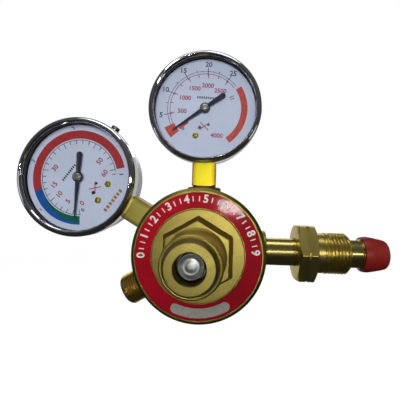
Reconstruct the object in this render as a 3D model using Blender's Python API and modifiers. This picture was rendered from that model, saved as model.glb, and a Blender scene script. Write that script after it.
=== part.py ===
"""Two-gauge cylinder pressure regulator for welding gas, modelled piece by piece.

The regulator axis runs front to back along Y, with the bonnet facing -Y. The inlet
leaves along +X, the cylinder-pressure gauge stands on +Z, the delivery gauge and the
outlet leave to the left, 30 degrees above and below -X. All dimensions below are in
millimetres; MM turns them into the metres that Blender uses.
"""
import math

import bmesh
import bpy
from mathutils import Matrix, Vector

MM = 0.001
GAP = 0.3                    # clearance between pieces that touch
NAME = "gas_regulator"

# Round-ness of turned pieces
LARGE = 40
GAUGE = 32
MEDIUM = 24
SMALL = 14
TINY = 10

# Regulator axis, stations measured forward (towards -Y) from the inlet axis
RIM_FRONT = 30.5             # front edge of the bonnet flange
RIM_R = 31.65
FLANGE_R = 33.4
FLANGE_BACK = 19.2
LABEL_IN = 22.9
LABEL_OUT = 31.0
LABEL_FLOOR = 29.9
LABEL_THICK = 0.4
LABEL_FILM = 0.02            # glue line under the label
PLATEAU_FRONT = 31.2
PLATEAU_R = 22.6
HEX_BASE_R = 19.7            # corner radius of the bonnet hexagon at its foot
HEX_TOP_R = 17.3
HEX_TOP = 38.5
NECK_FOOT_R = 14.2
NECK_R = 12.4
COLLAR_R = 12.85
COLLAR_FRONT = 62.9
NOSE_R = 9.9
NOSE_FRONT = 68.6
SCREW_BORE_R = 6.15
CHAMBER_TOP = 57.0
CHAMBER_R = 10.7
SKIRT_R = 29.6
CLAMP_FRONT = 26.0           # shoulder that clamps the diaphragm
CLAMP_R = 25.5

# Spring, diaphragm and valve on the same axis
BUTTON_R = 10.2
BUTTON_BOSS_R = 5.6
BUTTON_RIM = 2.6             # thickness of the button where the spring bears
MAIN_COIL_R = 8.45
MAIN_WIRE_R = 1.4
MAIN_TURNS = 5.5
PLATE_FRONT = 29.65          # front of the boss that centres the main spring
DIAPHRAGM_R = 29.2
DIAPHRAGM_FRONT = 24.6
DIAPHRAGM_BACK = 23.1
PIN_R = 1.0
POPPET_COIL_R = 3.3
POPPET_WIRE_R = 0.45
POPPET_TURNS = 4

# Body
BODY_R = 31.5
BODY_SPIGOT_R = 29.3
BODY_SPIGOT_FRONT = 22.8
BODY_FRONT = 18.9
BODY_BACK = -16.0
BODY_TAPER = -9.0
BODY_BACK_R = 24.0
DELIVERY_R = 23.0            # low-pressure chamber
DELIVERY_FLOOR = 5.5
HIGH_R = 7.5                 # high-pressure chamber
HIGH_TOP = 2.0
NOZZLE_BORE_R = 4.3
GAS_WAY_R = 2.0

# Ports: direction in the XZ plane, station along the regulator axis, boss end
HIGH_PORT_STATION = -3.7
LOW_PORT_STATION = 7.6
LEFT_GAUGE_ANGLE = 150.0
OUTLET_ANGLE = 210.0
PORT_SOCKET_R = 6.7
PORT_DEPTH_END = 24.5
GAUGE_BOSS_R = 9.8
HIGH_BOSS_END = 35.7
LOW_BOSS_END = 32.2
INLET_BOSS_R = 11.5
INLET_BOSS_END = 35.8
OUTLET_BOSS_R = 10.6
OUTLET_BOSS_END = 35.0
BOSS_START = 26.0
HIGH_WAY_START = 5.0         # gas ways open into the valve chamber here
LOW_WAY_START = 20.0         # and into the delivery chamber here
BOSS_CHAMFER = 0.8

# Inlet stem, union nut and dust cap, stations along +X
STEM_R = 7.7
STEM_BORE_R = 2.4
STEM_START = 24.8
STEM_SHOULDER = 88.6
NOSE_SHOULDER_R = 8.5
STEM_END = 99.6
NUT_START = 52.5
NUT_HEX_END = 62.8
NUT_PLAIN_END = 68.4
NUT_END = 81.6
NUT_ACROSS_FLATS = 30.0
NUT_THREAD_R = 11.45         # G 5/8, 22.9 mm over the crests
NUT_NOTCH_R = 15.7
NUT_NOTCH_HALF = 2.9
NUT_CHAMFER = 0.6
CAP_START = 88.9
CAP_END = 103.2
CAP_R = 10.2
CAP_TIP_R = 8.7
CAP_WALL = 1.4

# Outlet nipple, stations along its own axis
OUTLET_THREAD_R = 8.33       # G 3/8, 16.66 mm over the crests
OUTLET_END = 47.0
OUTLET_BORE_R = 3.8

# Pressure gauges, nominal 63 mm; depths are measured back from the bezel front
GAUGE_REACH_TOP = 80.2       # regulator axis to gauge centre
GAUGE_REACH_LEFT = 76.7
BEZEL_R = 31.9
BEZEL_LIP_R = 28.5
BEZEL_DEPTH = 9.5
CASE_R = 29.9
CASE_MOUTH_R = 31.0
CASE_DEPTH = 28.0
CASE_WALL = 0.8
LENS_DEPTH = 1.55
LENS_THICK = 1.2
LENS_R = 30.5
POINTER_DEPTH = 4.4
POINTER_THICK = 0.4
DIAL_DEPTH = 6.2
DIAL_THICK = 0.6
DIAL_R = 28.6
SOCKET_DEPTH = 16.5          # socket axis behind the bezel front
SOCKET_WIDTH = 13.5
SOCKET_START = 30.2
SOCKET_END = 44.2
SHANK_R = 6.4
SCREW_X = 5.1
SCREW_Z = -15.6
STOP_PIN_AT = 17.0           # radius at which the stop pin stands
STOP_PIN_R = 0.5
TUBE_R = 22.0
TUBE_THICK = 2.0
TUBE_ROOT_ANGLE = 249.0
TUBE_LAST_ANGLE = -16.0
TUBE_TIP_ANGLE = -21.5
SECTOR_X = 11.7
SECTOR_Z = -6.6
SECTOR_R = 11.8
PINION_R = 1.3
LEVER = 4.6
SECTOR_TEETH = 22
SECTOR_PITCH = 2.25          # degrees from tooth to tooth
SECTOR_FIRST = -34.0
TOOTH_DEPTH = 0.55
POINTER_TIP = 22.6
POINTER_TAIL = -12.2
POINTER_HUB_R = 2.9
PLUG_DEPTH = 13.6            # blow-out plug in the case wall
PLUG_ENDS = {"high_pressure": 32.2, "delivery": 34.2}

PORTS = [
    dict(
        label="inlet", angle=0, station=0, boss=INLET_BOSS_R, boss_end=INLET_BOSS_END,
        socket=STEM_R + GAP, floor=STEM_START - GAP, way=3.2, inner=HIGH_WAY_START,
    ),
    dict(
        label="high_gauge", angle=90, station=HIGH_PORT_STATION, boss=GAUGE_BOSS_R,
        boss_end=HIGH_BOSS_END, socket=PORT_SOCKET_R, floor=PORT_DEPTH_END - GAP,
        way=GAS_WAY_R, inner=HIGH_WAY_START,
    ),
    dict(
        label="low_gauge", angle=LEFT_GAUGE_ANGLE, station=LOW_PORT_STATION,
        boss=GAUGE_BOSS_R, boss_end=LOW_BOSS_END, socket=PORT_SOCKET_R,
        floor=PORT_DEPTH_END - GAP, way=GAS_WAY_R, inner=LOW_WAY_START,
    ),
    dict(
        label="outlet", angle=OUTLET_ANGLE, station=LOW_PORT_STATION, boss=OUTLET_BOSS_R,
        boss_end=OUTLET_BOSS_END, socket=OUTLET_THREAD_R - GAP, floor=PORT_DEPTH_END,
        way=GAS_WAY_R, inner=LOW_WAY_START,
    ),
]

COLOURS = {
    "brass": ((0.60, 0.52, 0.20), 0.32, 0.95),
    "bright_brass": ((0.80, 0.70, 0.16), 0.28, 0.95),
    "dark_brass": ((0.34, 0.27, 0.08), 0.36, 0.95),
    "label_red": ((0.46, 0.01, 0.03), 0.30, 0.0),
    "steel": ((0.62, 0.62, 0.62), 0.30, 1.0),
    "spring_steel": ((0.40, 0.40, 0.41), 0.35, 1.0),
    "chrome": ((0.75, 0.75, 0.77), 0.08, 1.0),
    "case_steel": ((0.46, 0.47, 0.50), 0.35, 0.9),
    "glass": ((0.92, 0.94, 0.96), 0.03, 0.0),
    "dial_white": ((0.72, 0.74, 0.84), 0.45, 0.0),
    "black": ((0.02, 0.02, 0.03), 0.45, 0.0),
    "rubber": ((0.03, 0.03, 0.03), 0.75, 0.0),
    "cap_red": ((0.30, 0.03, 0.02), 0.55, 0.0),
    "bronze": ((0.45, 0.27, 0.11), 0.70, 0.8),
}


def clear_scene():
    for obj in list(bpy.data.objects):
        bpy.data.objects.remove(obj, do_unlink=True)


def new_collection(name):
    made = bpy.data.collections.new(name)
    bpy.context.scene.collection.children.link(made)
    return made


clear_scene()
PARTS = new_collection(NAME)
CUTTERS = new_collection("cutters")


def finish_material(name, look):
    """A Principled material of the piece's own, in one of the shared finishes."""
    colour, roughness, metallic = COLOURS[look]
    material = bpy.data.materials.new(name)
    material.use_nodes = True
    shader = material.node_tree.nodes["Principled BSDF"]
    shader.inputs["Base Color"].default_value = (*colour, 1.0)
    shader.inputs["Roughness"].default_value = roughness
    shader.inputs["Metallic"].default_value = metallic
    if look == "glass":
        shader.inputs["Alpha"].default_value = 0.35
    material.diffuse_color = (*colour, 1.0)
    return material


def add_object(name, data, look=None, parent=None, place=(0, 0, 0), turn=(0, 0, 0)):
    """Link an object at a place in millimetres; without a look it is a cutter."""
    obj = bpy.data.objects.new(name, data)
    obj.location = [value * MM for value in place]
    obj.rotation_euler = [math.radians(angle) for angle in turn]
    obj.parent = parent
    if look is None:
        CUTTERS.objects.link(obj)
        obj.hide_render = True
        obj.display_type = "WIRE"
    else:
        PARTS.objects.link(obj)
        data.materials.append(finish_material(name, look))
    return obj


def add_empty(name, parent=None, place=(0, 0, 0), turn=(0, 0, 0)):
    empty = bpy.data.objects.new(name, None)
    empty.location = [value * MM for value in place]
    empty.rotation_euler = [math.radians(angle) for angle in turn]
    empty.parent = parent
    empty.empty_display_size = 0.01
    PARTS.objects.link(empty)
    return empty


FORWARD = (90, 0, 0)         # turns a piece's own +Z to the front, -Y
INLET = (0, 90, 0)           # turns it to +X


def radial(angle):
    """Turns a piece's own +Z outward at an angle in the XZ plane, from +X to +Z."""
    return (0, 90 - angle, 0)


def turned(name, outline, segments=MEDIUM, closed=False, **where):
    """A solid of revolution about its own Z. The outline is (radius, station) points
    that run down the outer side; a closed one is a ring and never touches the axis."""
    mesh = bpy.data.meshes.new(name)
    points = [(radius * MM, 0, station * MM) for radius, station in outline]
    edges = [(i, i + 1) for i in range(len(points) - 1)]
    if closed:
        edges.append((len(points) - 1, 0))
    mesh.from_pydata(points, edges, [])
    obj = add_object(name, mesh, **where)
    screw = obj.modifiers.new("turn", "SCREW")
    screw.steps = segments
    screw.render_steps = segments
    screw.use_merge_vertices = True
    screw.merge_threshold = 0.00001
    return obj


def cylinder(name, radius, start, end, segments=SMALL, **where):
    return turned(name, [(0, end), (radius, end), (radius, start), (0, start)], segments, **where)


def prism(name, corners, foot_r, top_r, start, end, spin=0.0, **where):
    """A prism or pyramid frustum with the given number of corners along its own Z."""
    bm = bmesh.new()
    bmesh.ops.create_cone(
        bm, cap_ends=True, cap_tris=False, segments=corners,
        radius1=foot_r * MM, radius2=top_r * MM, depth=(end - start) * MM,
    )
    middle = Matrix.Translation((0, 0, (start + end) / 2 * MM))
    bmesh.ops.transform(bm, matrix=Matrix.Rotation(math.radians(spin), 4, "Z"), verts=bm.verts)
    bmesh.ops.transform(bm, matrix=middle, verts=bm.verts)
    return add_object(name, mesh_of(bm, name), **where)


def box(name, low, high, **where):
    """A block between two corners in millimetres."""
    bm = bmesh.new()
    bmesh.ops.create_cube(bm, size=1.0)
    size = [(b - a) * MM for a, b in zip(low, high)]
    middle = [(a + b) / 2 * MM for a, b in zip(low, high)]
    bmesh.ops.scale(bm, vec=size, verts=bm.verts)
    bmesh.ops.translate(bm, vec=middle, verts=bm.verts)
    return add_object(name, mesh_of(bm, name), **where)


def mesh_of(bm, name):
    mesh = bpy.data.meshes.new(name)
    bm.to_mesh(mesh)
    bm.free()
    return mesh


def plate(name, outlines, low, high, **where):
    """A flat piece from outlines in its own XY plane; inner outlines are holes."""
    curve = bpy.data.curves.new(name, "CURVE")
    curve.dimensions = "2D"
    curve.fill_mode = "BOTH"
    curve.extrude = (high - low) / 2 * MM
    for outline in outlines:
        spline = curve.splines.new("POLY")
        spline.points.add(len(outline) - 1)
        for point, (x, y) in zip(spline.points, outline):
            point.co = (x * MM, y * MM, 0, 1)
        spline.use_cyclic_u = True
    obj = add_object(name, curve, **where)
    lift = Matrix.Translation((0, 0, (low + high) / 2 * MM))
    return curve_to_mesh(obj, lift)


def wire(name, points, radius, resolution=2, **where):
    """A round wire along points in millimetres, closed at both ends."""
    curve = bpy.data.curves.new(name, "CURVE")
    curve.dimensions = "3D"
    curve.bevel_depth = radius * MM
    curve.bevel_resolution = resolution
    curve.use_fill_caps = True
    spline = curve.splines.new("POLY")
    spline.points.add(len(points) - 1)
    for point, position in zip(spline.points, points):
        point.co = (*[value * MM for value in position], 1)
    return curve_to_mesh(add_object(name, curve, **where), Matrix.Identity(4))


def curve_to_mesh(obj, shift):
    """Swap a curve object for a welded mesh object of the same name and place."""
    bpy.context.view_layer.update()
    graph = bpy.context.evaluated_depsgraph_get()
    mesh = bpy.data.meshes.new_from_object(obj.evaluated_get(graph))
    bm = bmesh.new()
    bm.from_mesh(mesh)
    bmesh.ops.remove_doubles(bm, verts=bm.verts, dist=0.000002)
    bmesh.ops.transform(bm, matrix=shift, verts=bm.verts)
    bmesh.ops.recalc_face_normals(bm, faces=bm.faces)
    bm.to_mesh(mesh)
    bm.free()
    name = obj.name
    swapped = bpy.data.objects.new(name + ".mesh", mesh)
    swapped.parent = obj.parent
    swapped.location = obj.location
    swapped.rotation_euler = obj.rotation_euler
    home = obj.users_collection[0]
    hidden = obj.hide_render
    bpy.data.objects.remove(obj, do_unlink=True)
    home.objects.link(swapped)
    swapped.name = name
    swapped.hide_render = hidden
    swapped.display_type = "WIRE" if hidden else "TEXTURED"
    return swapped


def combine(target, tool, operation="DIFFERENCE"):
    modifier = target.modifiers.new(tool.name, "BOOLEAN")
    modifier.operation = operation
    modifier.solver = "EXACT"
    modifier.object = tool


def bevelled(obj, width):
    modifier = obj.modifiers.new("edges", "BEVEL")
    modifier.width = width * MM
    modifier.segments = 1
    modifier.limit_method = "ANGLE"
    modifier.angle_limit = math.radians(40)


def circle(radius, count, centre=(0, 0), start=0.0):
    """Points of a circle in degrees from start, for an outline."""
    step = 360 / count
    return [polar(radius, start + i * step, centre) for i in range(count)]


def polar(radius, angle, centre=(0, 0)):
    turn = math.radians(angle)
    return (centre[0] + radius * math.cos(turn), centre[1] + radius * math.sin(turn))


def arc(radius, first, last, count, centre=(0, 0)):
    step = (last - first) / (count - 1)
    return [polar(radius, first + i * step, centre) for i in range(count)]


def helix(radius, start, end, turns, per_turn):
    """Points up a coil whose end turns lie flat."""
    count = int(turns * per_turn)
    points = []
    for i in range(count + 1):
        t = i / count
        rise = min(1.0, max(0.0, (t * turns - 0.75) / (turns - 1.5)))
        x, y = polar(radius, 360 * turns * t)
        points.append((x, y, start + (end - start) * rise))
    return points


# ---------------------------------------------------------------- regulator core

def bonnet(root):
    """Front cover: flange over the diaphragm, hexagon for the spanner and spring neck."""
    outline = [
        (SCREW_BORE_R + 0.5, NOSE_FRONT), (NOSE_R - 0.5, NOSE_FRONT), (NOSE_R, NOSE_FRONT - 0.5),
        (COLLAR_R - 0.6, COLLAR_FRONT), (COLLAR_R, COLLAR_FRONT - 0.6),
        (COLLAR_R - 0.1, COLLAR_FRONT - 1.6), (NECK_R, COLLAR_FRONT - 3.2),
        (NECK_R, HEX_TOP + 9), (NECK_R + 0.6, HEX_TOP + 3), (NECK_FOOT_R, HEX_TOP - 0.5),
        (NECK_FOOT_R, PLATEAU_FRONT), (PLATEAU_R, PLATEAU_FRONT), (LABEL_IN, LABEL_FLOOR),
        (LABEL_OUT + 0.2, LABEL_FLOOR), (LABEL_OUT + 0.2, RIM_FRONT), (RIM_R, RIM_FRONT),
        (FLANGE_R, RIM_FRONT - 1.9), (FLANGE_R, FLANGE_BACK + 0.8), (FLANGE_R - 0.8, FLANGE_BACK),
        (SKIRT_R, FLANGE_BACK), (SKIRT_R, CLAMP_FRONT), (CLAMP_R, CLAMP_FRONT),
        (CLAMP_R, CLAMP_FRONT + 1.4), (15.0, CLAMP_FRONT + 1.8), (CHAMBER_R, 33.0),
        (CHAMBER_R, CHAMBER_TOP - 1.5), (CHAMBER_R - 1.5, CHAMBER_TOP),
        (SCREW_BORE_R, CHAMBER_TOP), (SCREW_BORE_R, NOSE_FRONT - 0.5),
    ]
    piece = turned("bonnet", outline, LARGE, closed=True, look="brass", parent=root, turn=FORWARD)
    nut_form = prism(
        "bonnet_hexagon", 6, HEX_BASE_R, HEX_TOP_R, PLATEAU_FRONT - 0.6, HEX_TOP,
        parent=root, turn=FORWARD,
    )
    hollow = cylinder(
        "bonnet_hexagon_hollow", NECK_FOOT_R - 0.7, CLAMP_FRONT, COLLAR_FRONT, MEDIUM,
        parent=root, turn=FORWARD,
    )
    combine(nut_form, hollow)
    combine(piece, nut_form, "UNION")


def label_ring(root):
    """Printed ring stuck in its groove, standing just off the groove's floor."""
    inner = LABEL_IN + GAP
    outer = LABEL_OUT - GAP / 2
    back = LABEL_FLOOR + LABEL_FILM
    front = LABEL_FLOOR + LABEL_THICK
    outline = [(inner, front), (outer, front), (outer, back), (inner, back)]
    turned("label_ring", outline, LARGE, closed=True, look="label_red", parent=root, turn=FORWARD)


def spring_button(root):
    """Steel seat on top of the main spring, with a dimple for the adjusting screw."""
    top = CHAMBER_TOP - GAP
    outline = [
        (0, 60.6), (0.9, 61.2), (3.4, 62.3), (4.9, 62.3), (BUTTON_BOSS_R, 61.6),
        (BUTTON_BOSS_R, top), (8.3, top), (BUTTON_R, top - 1.9), (BUTTON_R, top - BUTTON_RIM),
        (6.6, top - BUTTON_RIM), (6.6, top - 5.0), (0, top - 5.0),
    ]
    turned("spring_button", outline, MEDIUM, look="steel", parent=root, turn=FORWARD)


def main_spring(root):
    """Coil between the diaphragm plate and the spring button, clear of both."""
    reach = MAIN_WIRE_R + 0.1
    foot = PLATE_FRONT + GAP + reach
    head = CHAMBER_TOP - GAP - BUTTON_RIM - GAP - reach
    points = helix(MAIN_COIL_R, foot, head, MAIN_TURNS, 8)
    wire("main_spring", points, MAIN_WIRE_R, 1, look="spring_steel", parent=root, turn=FORWARD)


def diaphragm_stack(root):
    """Slip ring, rubber diaphragm and the plates that carry the spring force to it."""
    above = DIAPHRAGM_FRONT + GAP
    below = DIAPHRAGM_BACK - GAP
    slip_in = CLAMP_R + 0.4
    slip_top = CLAMP_FRONT - GAP
    slip = [
        (slip_in, slip_top), (DIAPHRAGM_R, slip_top), (DIAPHRAGM_R, above), (slip_in, above),
    ]
    turned("slip_ring", slip, MEDIUM, closed=True, look="steel", parent=root, turn=FORWARD)
    sheet = [
        (0, DIAPHRAGM_FRONT), (DIAPHRAGM_R, DIAPHRAGM_FRONT), (DIAPHRAGM_R, DIAPHRAGM_BACK),
        (0, DIAPHRAGM_BACK),
    ]
    turned("diaphragm", sheet, MEDIUM, look="rubber", parent=root, turn=FORWARD)
    plate_outline = [
        (0, PLATE_FRONT), (6.4, PLATE_FRONT), (6.4, 27.2), (12.2, 27.2), (12.2, above + 1.0),
        (19.5, above + 1.0), (20.0, above + 0.5), (20.0, above), (0, above),
    ]
    turned("diaphragm_plate", plate_outline, MEDIUM, look="brass", parent=root, turn=FORWARD)
    washer = [(0, below), (9.0, below), (9.0, 21.6), (3.5, 21.6), (3.5, 20.2), (0, 20.2)]
    turned("diaphragm_washer", washer, SMALL, look="brass", parent=root, turn=FORWARD)


def valve(root):
    """Nozzle, push pin, poppet with its seat and spring, and the plug behind them."""
    nozzle = [
        (1.7, 9.5), (3.2, 9.5), (4.0, 8.7), (6.5, 8.7), (6.5, DELIVERY_FLOOR + GAP),
        (NOZZLE_BORE_R - GAP, DELIVERY_FLOOR + GAP), (NOZZLE_BORE_R - GAP, 1.4), (2.6, 1.4),
        (2.2, 0.6), (1.7, 0.6),
    ]
    turned("nozzle", nozzle, SMALL, closed=True, look="brass", parent=root, turn=FORWARD)
    cylinder("push_pin", PIN_R, -0.3, 19.9, TINY, look="steel", parent=root, turn=FORWARD)
    seat = [(1.3, 0.3), (3.6, 0.3), (3.6, -1.6), (1.3, -1.6)]
    turned("valve_seat", seat, SMALL, closed=True, look="rubber", parent=root, turn=FORWARD)
    poppet = [
        (0, -0.6), (PIN_R, -0.6), (PIN_R, -1.9), (4.6, -1.9), (4.6, -4.5), (2.2, -4.5),
        (2.2, -7.0), (0, -7.0),
    ]
    turned("valve_poppet", poppet, SMALL, look="brass", parent=root, turn=FORWARD)
    coil = helix(POPPET_COIL_R, -10.1, -5.3, POPPET_TURNS, 8)
    wire("poppet_spring", coil, POPPET_WIRE_R, 0, look="spring_steel", parent=root, turn=FORWARD)
    rear_plug(root)


def rear_plug(root):
    """Plug that closes the valve chamber, with a hexagon head on a soft washer."""
    shank = [
        (0, -10.9), (HIGH_R - GAP, -10.9), (HIGH_R - GAP, BODY_BACK - 0.4), (9.0, BODY_BACK - 1.6),
        (9.0, -18.0), (0, -18.0),
    ]
    plug = turned("rear_plug", shank, MEDIUM, look="brass", parent=root, turn=FORWARD)
    head = prism("rear_plug_head", 6, 9.6, 10.6, -22.5, -17.6, parent=root, turn=FORWARD)
    combine(plug, head, "UNION")
    washer = [(9.5, BODY_BACK - GAP), (11.4, BODY_BACK - GAP), (11.4, -17.3), (9.5, -17.3)]
    turned("rear_gasket", washer, MEDIUM, closed=True, look="bronze", parent=root, turn=FORWARD)


def body(root):
    """Forged brass body with the delivery chamber in front and the inlet side behind."""
    outline = [
        (DELIVERY_R, BODY_SPIGOT_FRONT), (BODY_SPIGOT_R, BODY_SPIGOT_FRONT),
        (BODY_SPIGOT_R, BODY_FRONT), (BODY_R, BODY_FRONT), (BODY_R, BODY_TAPER),
        (BODY_R - 1.6, BODY_TAPER - 2.6), (BODY_BACK_R, BODY_BACK), (HIGH_R, BODY_BACK),
        (HIGH_R, HIGH_TOP), (NOZZLE_BORE_R, HIGH_TOP), (NOZZLE_BORE_R, DELIVERY_FLOOR),
        (DELIVERY_R, DELIVERY_FLOOR),
    ]
    piece = turned("body", outline, LARGE, closed=True, look="dark_brass", parent=root, turn=FORWARD)
    for port in PORTS:
        body_boss(piece, root, port)
    for port in PORTS:
        body_port(piece, root, port)


def body_boss(piece, root, port):
    """Round boss that carries one port, added to the body."""
    end = port["boss_end"]
    radius = port["boss"]
    outline = [
        (0, end), (radius - BOSS_CHAMFER, end), (radius, end - BOSS_CHAMFER),
        (radius, BOSS_START), (0, BOSS_START),
    ]
    where = dict(parent=root, place=(0, -port["station"], 0), turn=radial(port["angle"]))
    combine(piece, turned("body_boss_" + port["label"], outline, MEDIUM, **where), "UNION")


def body_port(piece, root, port):
    """Socket of one port and the gas way from its floor to a chamber, cut in the body."""
    outside = port["boss_end"] + 5
    socket = port["socket"]
    floor = port["floor"]
    way = port["way"]
    inner = port["inner"]
    outline = [
        (0, outside), (socket, outside), (socket, floor), (way, floor), (way, inner), (0, inner),
    ]
    where = dict(parent=root, place=(0, -port["station"], 0), turn=radial(port["angle"]))
    combine(piece, turned("body_port_" + port["label"], outline, SMALL, **where))


# ---------------------------------------------------------------- inlet and outlet

def inlet_stem(root):
    outline = [
        (4.2, STEM_END), (5.6, STEM_END), (6.8, 98.4), (7.9, 95.6), (NOSE_SHOULDER_R, 92.6),
        (NOSE_SHOULDER_R, STEM_SHOULDER), (STEM_R, STEM_SHOULDER - 0.4), (STEM_R, STEM_START),
        (STEM_BORE_R, STEM_START), (STEM_BORE_R, 91.5), (4.2, 91.5),
    ]
    turned("inlet_stem", outline, MEDIUM, closed=True, look="brass", parent=root, turn=INLET)


def inlet_filter(root):
    outline = [(0, 99.2), (3.9, 99.2), (3.9, 98.0), (3.4, 97.6), (3.0, 91.9), (0, 91.9)]
    turned("inlet_filter", outline, SMALL, look="bronze", parent=root, turn=INLET)


def inlet_nut(root):
    """Left-hand union nut: a notched hexagon and a male thread, free on the stem."""
    corner = NUT_ACROSS_FLATS / 2 / math.cos(math.radians(30))
    bore = STEM_R + GAP
    where = dict(parent=root, turn=INLET)
    piece = prism(
        "inlet_nut", 6, corner, corner, NUT_START, NUT_HEX_END, look="dark_brass", **where
    )
    outside = corner + 2
    inside = NUT_ACROSS_FLATS / 2 - NUT_CHAMFER
    slope = (outside - inside) * math.tan(math.radians(30))
    back = [
        (inside, NUT_START), (inside, NUT_START - 1), (outside, NUT_START - 1),
        (outside, NUT_START + slope),
    ]
    front = [
        (inside, NUT_HEX_END), (outside, NUT_HEX_END - slope), (outside, NUT_HEX_END + 1),
        (inside, NUT_HEX_END + 1),
    ]
    middle = (NUT_START + NUT_HEX_END) / 2
    notch = [
        (outside, middle + NUT_NOTCH_HALF), (outside, middle - NUT_NOTCH_HALF),
        (NUT_NOTCH_R, middle),
    ]
    for label, outline in (("back", back), ("front", front), ("notch", notch)):
        combine(piece, turned("inlet_nut_" + label, outline, MEDIUM, closed=True, **where))
    combine(piece, cylinder("inlet_nut_bore", bore, 40, 70, MEDIUM, **where))
    plain = NUT_THREAD_R - GAP
    thread = [
        (bore, NUT_END), (NUT_THREAD_R - 1.6, NUT_END), (NUT_THREAD_R, NUT_END - 1.6),
        (NUT_THREAD_R, NUT_PLAIN_END + 1.0), (NUT_THREAD_R - 0.9, NUT_PLAIN_END),
        (plain, NUT_PLAIN_END - 1.0), (plain, NUT_HEX_END - 1.0), (bore, NUT_HEX_END - 1.0),
    ]
    combine(piece, turned("inlet_nut_thread", thread, MEDIUM, closed=True, **where), "UNION")


def dust_cap(root):
    """Soft cap pushed over the nose of the inlet stem."""
    inner_end = CAP_END - 1.9
    bore = CAP_TIP_R - CAP_WALL
    outline = [
        (0, CAP_END), (CAP_TIP_R - 2.4, CAP_END), (CAP_TIP_R - 0.7, 102.2), (CAP_TIP_R, 100.0),
        (CAP_R, 91.6), (9.4, CAP_START), (NOSE_SHOULDER_R + GAP, CAP_START),
        (CAP_R - CAP_WALL, 94.0), (bore, inner_end - 1.0), (bore - 0.6, inner_end), (0, inner_end),
    ]
    turned("dust_cap", outline, MEDIUM, look="cap_red", parent=root, turn=INLET)


def outlet_nipple(root):
    shank = OUTLET_THREAD_R - 0.6
    outline = [
        (OUTLET_BORE_R + 1.6, OUTLET_END), (OUTLET_THREAD_R - 1.3, OUTLET_END),
        (OUTLET_THREAD_R, OUTLET_END - 1.4), (OUTLET_THREAD_R, OUTLET_BOSS_END + 1.9),
        (shank, OUTLET_BOSS_END + 1.2), (shank, PORT_DEPTH_END + GAP),
        (OUTLET_BORE_R, PORT_DEPTH_END + GAP), (OUTLET_BORE_R, OUTLET_END - 2.6),
    ]
    turned(
        "outlet_nipple", outline, MEDIUM, closed=True, look="dark_brass", parent=root,
        place=(0, -LOW_PORT_STATION, 0), turn=radial(OUTLET_ANGLE),
    )


# ---------------------------------------------------------------- pressure gauges

def gauge_shell(prefix, hub, plug_angle, plug_look):
    """Case, bezel, window and gasket of one gauge."""
    inner = CASE_R - CASE_WALL
    back = -CASE_DEPTH
    outline = [
        (0, back + CASE_WALL), (inner - 2.1, back + CASE_WALL), (inner, back + 2.8), (inner, -9.5),
        (CASE_MOUTH_R - CASE_WALL, -8.4), (CASE_MOUTH_R - CASE_WALL, -6.5), (CASE_MOUTH_R, -6.5),
        (CASE_MOUTH_R, -8.8), (CASE_R, -9.9), (CASE_R, back + 2.5), (CASE_R - 0.7, back + 0.8),
        (CASE_R - 2.5, back), (0, back),
    ]
    case = turned(prefix + "_case", outline, GAUGE, look="case_steel", parent=hub, turn=FORWARD)
    half = SOCKET_WIDTH / 2 - 0.7 + GAP
    slot = box(
        prefix + "_case_slot", (-half, SOCKET_DEPTH - half, -SOCKET_END),
        (half, SOCKET_DEPTH + half, -20), parent=hub,
    )
    combine(case, slot)
    plug_at = dict(parent=hub, place=(0, PLUG_DEPTH, 0), turn=radial(plug_angle))
    combine(case, cylinder(prefix + "_case_hole", 1.6, 25, 40, 12, **plug_at))
    seat = CASE_R + GAP
    end = PLUG_ENDS[prefix]
    plug = [
        (0, end), (1.9, end), (2.4, end - 0.5), (2.4, seat), (1.3, seat),
        (1.3, 27.6), (0, 27.6),
    ]
    turned(prefix + "_case_plug", plug, 12, look=plug_look, **plug_at)
    bezel = [
        (BEZEL_LIP_R, -1.25), (BEZEL_LIP_R + 0.2, -0.6), (BEZEL_LIP_R + 0.9, -0.1), (30.2, 0),
        (31.2, -0.55), (BEZEL_R, -1.7), (BEZEL_R, -BEZEL_DEPTH), (BEZEL_R - 0.6, -BEZEL_DEPTH),
        (BEZEL_R - 0.6, -2.0), (30.7, -1.25),
    ]
    turned(prefix + "_bezel", bezel, GAUGE, closed=True, look="chrome", parent=hub, turn=FORWARD)
    behind = -LENS_DEPTH - LENS_THICK
    lens = [(0, -LENS_DEPTH), (LENS_R, -LENS_DEPTH), (LENS_R, behind), (0, behind)]
    turned(prefix + "_lens", lens, GAUGE, look="glass", parent=hub, turn=FORWARD)
    seal_front = behind - GAP
    seal_back = seal_front - 1.0
    gasket = [
        (LENS_R - 1.8, seal_front), (LENS_R, seal_front), (LENS_R, seal_back),
        (LENS_R - 1.8, seal_back),
    ]
    turned(prefix + "_lens_gasket", gasket, MEDIUM, closed=True, look="rubber", parent=hub, turn=FORWARD)


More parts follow.
